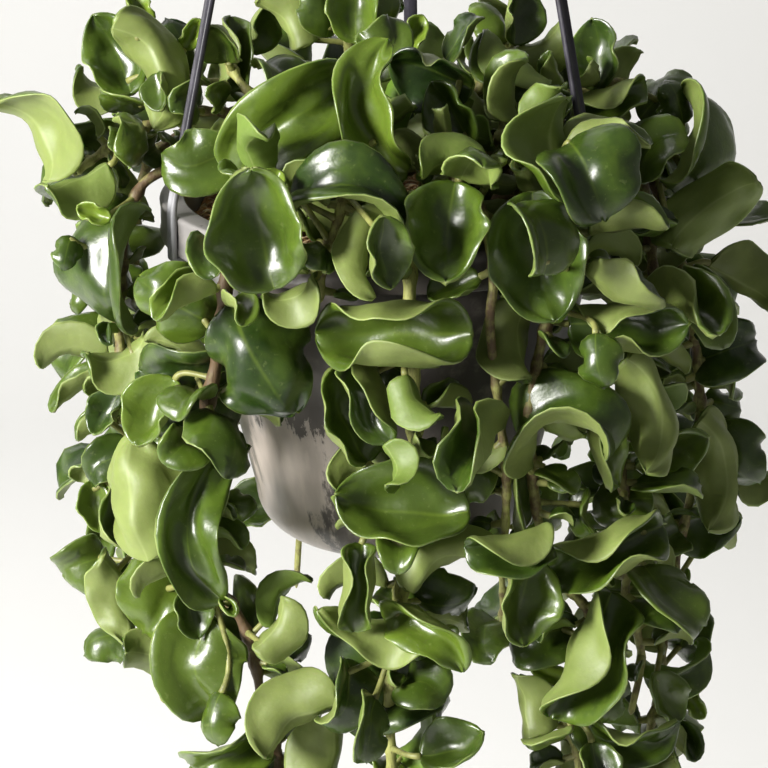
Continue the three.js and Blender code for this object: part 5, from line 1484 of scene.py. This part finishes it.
def soil_height(x, y):
    """The soil's surface: a little higher in the middle, heaped at the left, with lumps of three
    sizes. The heap is a bell curve of the distance from its top."""
    points = np.stack([x, y, 0 * x], -1)
    heap_x, heap_y, rise, reach = SOIL_HEAP
    heap = rise * np.exp(-((x - heap_x) ** 2 + (y - heap_y) ** 2) / reach**2)
    lumps = sum(height * bumps(points, size, seed) for height, size, seed in SOIL_LUMPS)
    return SOIL_TOP - 1 - SOIL_CROWN * (np.hypot(x, y) / SOIL_RADIUS) ** 2 + lumps + heap


GOLDEN_ANGLE = 2.39996


def scattered(count, seed, most):
    """Points spread evenly over a disc, by the golden angle, each with two drawn numbers."""
    n = np.arange(count) + 0.5
    r, a = most * np.sqrt(n / count), n * GOLDEN_ANGLE + seed
    return zip(r * np.cos(a), r * np.sin(a), (n * SPREAD[1] + seed) % 1, (n * SPREAD[3] + seed) % 1)


SOIL_FOOT, SOIL_WAIST, SOIL_CORNER = 41, 57.9, 20
SOIL_RINGS, RING_SPACING = 60, 0.85


def soil_mesh(sides):
    """The soil's bottom, with its rounded corner, its slanted side and its lumpy top, as rings."""
    a = -2 * math.pi * np.arange(sides) / sides
    t = np.linspace(0, math.pi / 2, 7)
    r = SOIL_FOOT + (SOIL_WAIST - SOIL_FOOT) * np.sin(t)[:, None]
    z = SOIL_BOTTOM + SOIL_CORNER * (1 - np.cos(t))[:, None]
    shell = np.stack([r * np.cos(a), r * np.sin(a), z + 0 * a], -1)
    radii = np.linspace(0, 1, SOIL_RINGS)[:0:-1, None] ** RING_SPACING * SOIL_RADIUS
    x, y = radii * np.cos(a), radii * np.sin(a)
    top = np.stack([x, y, soil_height(x, y)], -1)
    middle = float(soil_height(0.0, 0.0))
    return capped(np.concatenate([shell, top]), [0, 0, SOIL_BOTTOM], [0, 0, middle])


SHORTEST_FIBRE, FIBRE_SPREAD, FIBRE_BEND, FIBRE_REACH = 4, 9, 1.2, 84


def fibre_mesh(x, y, p, q):
    """A tube along a shallow parabola that lies on the soil, with its middle a little raised."""
    t = np.linspace(-1, 1, 7)
    length, heading = SHORTEST_FIBRE + FIBRE_SPREAD * p, 2 * math.pi * q
    bend = (p - 0.5) * FIBRE_BEND
    px = x + length * (t * math.cos(heading) - bend * t * t * math.sin(heading)) / 2
    py = y + length * (t * math.sin(heading) + bend * t * t * math.cos(heading)) / 2
    keep = FIBRE_REACH / max(FIBRE_REACH, float(np.hypot(px, py).max()))
    px, py = px * keep, py * keep
    path = np.stack([px, py, soil_height(px, py) + 0.5 + 1.6 * q * (1 - t * t)], -1)
    return tube(path, 0.32 + 0.3 * q - 0.12 * t * t, 5)


def crumb_mesh(x, y, p, q):
    """A ball of rings, dented by smooth noise and flattened, that sits on the soil."""
    b = np.linspace(0, math.pi, 8)[1:-1, None]
    c = -2 * math.pi * np.arange(9) / 9
    ball = np.stack([np.sin(b) * np.cos(c), np.sin(b) * np.sin(c), -np.cos(b) + 0 * c], -1)
    size = (1 + 1.4 * p) * np.array([1, 0.6 + 0.4 * q, 0.55])
    ball = ball * (1 + 0.25 * bumps(ball, 0.9, 10 * p)[..., None]) * size
    at = np.array([x, y, float(soil_height(np.float64(x), np.float64(y))) + 0.5])
    return capped(ball + at, at - [0, 0, size[2]], at + [0, 0, size[2]])


class MakeSoil(bpy.types.Operator):
    """Make the soil, with husk fibres and crumbs lying on it"""

    bl_idname = "plant.make_soil"
    bl_label = "Make the soil"

    def execute(self, context):
        settings = context.scene.plant_soil
        piece = Piece()
        piece.add(*soil_mesh(150))
        for spot in scattered(settings.fibres, 0.3, 83):
            piece.add(*fibre_mesh(*spot), look=1)
        for spot in scattered(settings.crumbs, 2.1, 80):
            piece.add(*crumb_mesh(*spot), look=2)
        looks = [soil_look(settings), fibre_look(settings), crumb_look(settings)]
        piece.finish("soil_bed", looks, "soil", "soil")
        return {"FINISHED"}


# Rounding of the arm's bends and of its edges, and the hollow between its two ribs
TIGHT_BEND, WIDE_BEND, ARM_EDGE = 1.1, 6, 0.45
RIB_TOP, RIB_FOOT, HOLLOW = 1.1, 1.6, 0.6


def arm_mesh(angle, width, thickness):
    """A channel section carried from the toe under the rim's band, out and up over the band, and in
    a straight line to the hub. Both long edges stand up as ribs."""
    toe, under, band, top = (94.3, -13.2), (94.3, -18.3), (101.5, -18.3), (101.5, 3.2)
    hub = (6.95, HUB_HEIGHT + 4.4)
    corners = [np.array(p) for p in (toe, under, band, top, hub)]
    line = [corners[0]]
    for before, corner, after in zip(corners, corners[1:], corners[2:]):
        radius = WIDE_BEND if corner is corners[3] else TIGHT_BEND
        a, b = corner + unit(before - corner) * radius, corner + unit(after - corner) * radius
        t = np.linspace(0, 1, 6)[:, None]
        line += list((1 - t) ** 2 * a + 2 * t * (1 - t) * corner + t * t * b)
    straight = line[-1] + np.linspace(0, 1, 30)[1:, None] * (corners[-1] - line[-1])
    line = np.concatenate([line, straight])
    direction = unit(np.gradient(line, axis=0))
    outward = np.stack([direction[:, 1], -direction[:, 0]], -1)
    c, s = math.cos((angle - 90) * RAD), math.sin((angle - 90) * RAD)
    path = np.stack([line[:, 0] * c, line[:, 0] * s, line[:, 1]], -1)
    out = np.stack([outward[:, 0] * c, outward[:, 0] * s, outward[:, 1]], -1)
    w, h, e = width / 2, thickness / 2, ARM_EDGE
    section = [(-w, -h + e), (-w, h - e), (-w + e, h), (-w + RIB_TOP, h), (-w + RIB_FOOT, h - HOLLOW),
        (w - RIB_FOOT, h - HOLLOW), (w - RIB_TOP, h), (w - e, h), (w, h - e), (w, -h + e), (w - e, -h),
        (-w + e, -h)]
    return swept(path, out, section)


HALF_HUB = 7


def hub_mesh():
    """A profile turned round the upright axis: a drum with a groove round it and a collar on top."""
    low, high = HUB_HEIGHT - HALF_HUB, HUB_HEIGHT + HALF_HUB
    profile = np.concatenate([arc(7.6, low + 1.4, 1.4, 270, 360, 6),
        [[9, HUB_HEIGHT - 2], [8.6, HUB_HEIGHT - 1.4], [8.6, HUB_HEIGHT + 1.4], [9, HUB_HEIGHT + 2]],
        arc(7.2, high - 1.8, 1.8, 0, 90, 6), arc(4.4, high + 1.6, 1.6, 270, 180, 5),
        [[2.6, high + 4], [2.4, high + 4.4]]])
    return capped(turned(profile, 48), [0, 0, low], [0, 0, high + 4.4])


HOOK_RADIUS, HOOK_MIDDLE, WIRE_RADIUS = 11.2, 470, 2.2


def hook_mesh():
    """A tube up out of the hub and round seven twelfths of a circle, with a rounded tip."""
    turn = np.arange(0, 211, 30) * RAD
    bend = [[0, 0, HUB_HEIGHT + 3], [0, 0, HUB_HEIGHT + 12], [8.4, 0, 460]]
    bend += [[HOOK_RADIUS * math.cos(a), 0, HOOK_MIDDLE + HOOK_RADIUS * math.sin(a)] for a in turn]
    path = smooth_path(bend, 96)
    at = arc_lengths(path)
    end = np.clip((at - at[-1] + 2) / 2.1, 0, 1)
    return tube(path, WIRE_RADIUS * np.sqrt(1 - end**2 * 0.98), 20)


class MakeHanger(bpy.types.Operator):
    """Make the three arms, the hub and the hook of the hanger"""

    bl_idname = "plant.make_hanger"
    bl_label = "Make the hanger"

    def execute(self, context):
        settings = context.scene.plant_hanger
        look = hanger_look(settings)
        for name, angle in ARM_ANGLES.items():
            piece = Piece()
            piece.add(*arm_mesh(angle, settings.width / MM, settings.thickness / MM))
            piece.finish("arm_" + name, [look], "hanger_plastic", "hanger_arm_" + name)
        piece = Piece()
        piece.add(*hub_mesh())
        piece.add(*hook_mesh())
        piece.finish("hub_and_hook", [look], "hanger_plastic", "hanger_hub")
        return {"FINISHED"}


# A leaf's share of the full thickness is THIN_SHARE and its length over THICK_LENGTH, and 1 at most.
# Age is 0 for an old leaf and 1 for the youngest.
THIN_SHARE, THICK_LENGTH = 0.55, 110
YOUNG_AGE, MOST_AGE = 0.75, 0.35


class MakeLeaves(bpy.types.Operator):
    """Place the leaves, and make every stem with its petioles and leaves"""

    bl_idname = "plant.make_leaves"
    bl_label = "Make stems and leaves"

    def execute(self, context):
        placed, count = Foliage(), 0
        place_hand_leaves(placed)
        for fill_round in FILL_ROUNDS:
            count = place_fill_leaves(placed, *fill_round, count)
        leaf, stem = context.scene.plant_leaf, context.scene.plant_stem
        looks = [leaf_look(leaf), petiole_look(stem), stem_look(stem)]
        for name in STEMS:
            self.make_vine(name, placed, leaf, stem).finish("vine_" + name, looks, "leaf", "stem_" + name)
        return {"FINISHED"}

    def make_vine(self, name, placed, leaf, stem):
        """One stem with its leaves. Field tone holds how light a leaf is, how young and how vivid."""
        piece = Piece()
        own = [(k, one) for k, one in enumerate(placed.leaves) if one.stem == name]
        roots = [one.petiole[0] for _, one in own]
        points, quads, caps, wood = stem_mesh(name, roots, stem.radius / MM)
        piece.add(points, quads, caps, look=2, wood=wood)
        for k, one in own:
            thickness = leaf.thickness / MM * min(1, THIN_SHARE + one.length / THICK_LENGTH)
            points, quads, caps, blade = blade_mesh(one, thickness, leaf.rim / MM, k)
            draws = drawn(k)
            light = draws[1] ** 1.2 if one.light is None else one.light
            age = YOUNG_AGE if one.form.wave == 0 else MOST_AGE * draws[2] ** 3
            piece.add(points, quads, caps, blade=blade, tone=(light, age, draws[3] ** 5))
            piece.add(*petiole_mesh(one, stem.petiole / MM), look=1)
        return piece


def soft_light(name, size, power, colour, at, target):
    """A round lamp at a place, looking at a target."""
    light = bpy.data.lights.new(name, "AREA")
    light.shape, light.size, light.energy, light.color = "DISK", size, power, colour
    lamp = bpy.data.objects.new(name, light)
    lamp.location = at
    lamp.rotation_euler = (Vector(target) - Vector(at)).to_track_quat("-Z", "Y").to_euler()
    bpy.context.scene.collection.objects.link(lamp)


# The backdrop in metres: the floor's height and near edge, the bend's start and radius, the wall's
# distance and top, and half its width
FLOOR, NEAR_EDGE, BEND_START, BEND_RADIUS = -1.5, -4, 2.6, 1.2
WALL_AT, WALL_TOP_EDGE, HALF_WIDTH = 3.8, 4, 6.0


def backdrop_mesh():
    """A profile of the floor, a quarter of a circle and the wall, drawn out to both sides."""
    t = np.linspace(0, math.pi / 2, 24)
    bend = np.stack([BEND_START + BEND_RADIUS * np.sin(t), FLOOR + BEND_RADIUS * (1 - np.cos(t))], -1)
    line = np.concatenate([[[NEAR_EDGE, FLOOR], [0, FLOOR]], bend, [[WALL_AT, WALL_TOP_EDGE]]])
    rows = np.stack(np.broadcast_arrays([-HALF_WIDTH, HALF_WIDTH], line[:, :1], line[:, 1:]), -1)
    mesh = bpy.data.meshes.new("backdrop")
    mesh.from_pydata(rows.reshape(-1, 3), [], grid_faces(len(line), 2, closed=False)[:, ::-1])
    mesh.polygons.foreach_set("use_smooth", np.ones(len(mesh.polygons), bool))
    return mesh


def room_light(strength):
    """Even, slightly warm light from all round."""
    world = bpy.data.worlds.new("room")
    world.use_nodes = True
    surface = world.node_tree.nodes["Background"]
    surface.inputs["Color"].default_value = (1.0, 0.99, 0.97, 1)
    surface.inputs["Strength"].default_value = strength
    return world


SENSOR, LENS, VIEW_ROLL = 36, 135.5, 0.008


def make_camera():
    """The camera, where the photograph was taken from and with its angle of view."""
    lens = bpy.data.cameras.new("camera")
    lens.sensor_width, lens.lens = SENSOR, LENS
    lens.clip_start, lens.clip_end = 0.05, 50
    camera = bpy.data.objects.new("camera", lens)
    camera.location = (VIEW_X * MM, -VIEW_DISTANCE * MM, (VIEW_HEIGHT - HANG_HEIGHT) * MM)
    camera.rotation_euler = (math.pi / 2 - VIEW_TILT, 0, VIEW_ROLL)
    bpy.context.scene.collection.objects.link(camera)
    return camera


class MakeStage(bpy.types.Operator):
    """Make the pale floor and backdrop, the soft lights and the camera"""

    bl_idname = "plant.make_stage"
    bl_label = "Make the stage"

    def execute(self, context):
        settings, scene = context.scene.plant_stage, context.scene
        backdrop = bpy.data.objects.new("backdrop", backdrop_mesh())
        backdrop.data.materials.append(stage_look(settings))
        scene.collection.objects.link(backdrop)
        warm, wall = (1.0, 0.985, 0.95), (1.0, 0.985, 0.975)
        soft_light("window", 0.8, settings.key, warm, (-1.74, -1.26, 0.15), (0, 0, -0.5))
        soft_light("backdrop_light", 3.0, settings.back, wall, (-1.1, 0.9, 1.0), (-1.1, 3.4, -1.0))
        scene.world = room_light(settings.ambient)
        scene.view_settings.view_transform = "Standard"
        scene.camera = make_camera()
        return {"FINISHED"}


class PlantPanel(bpy.types.Panel):
    """The plant's sizes and colours, and a button for each group of pieces"""

    bl_idname = "VIEW3D_PT_plant"
    bl_label = "Hanging plant"
    bl_space_type = "VIEW_3D"
    bl_region_type = "UI"
    bl_category = "Plant"

    def draw(self, context):
        for operator, groups in STEPS:
            box = self.layout.box()
            for group in groups:
                for key in group.__annotations__:
                    box.prop(getattr(context.scene, NAMES[group]), key)
            box.operator(operator.bl_idname)


NAMES = {PotSettings: "plant_pot", SoilSettings: "plant_soil", HangerSettings: "plant_hanger",
    StemSettings: "plant_stem", LeafSettings: "plant_leaf", StageSettings: "plant_stage"}
STEPS = [(MakeStage, [StageSettings]), (MakePot, [PotSettings]), (MakeSoil, [SoilSettings]),
    (MakeHanger, [HangerSettings]), (MakeLeaves, [StemSettings, LeafSettings])]
CLASSES = [*NAMES, *(operator for operator, _ in STEPS), PlantPanel]


def register():
    """Registers the classes, and gives the scene one group of settings for each kind of piece."""
    for each in CLASSES:
        bpy.utils.register_class(each)
    for group, name in NAMES.items():
        setattr(bpy.types.Scene, name, bpy.props.PointerProperty(type=group))


def unregister():
    """Takes away what register adds, the other way round."""
    for name in NAMES.values():
        delattr(bpy.types.Scene, name)
    for each in reversed(CLASSES):
        bpy.utils.unregister_class(each)


def main():
    """Makes everything."""
    register()
    for operator, _ in STEPS:
        family, action = operator.bl_idname.split(".")
        getattr(getattr(bpy.ops, family), action)()


if __name__ == "__main__":
    main()
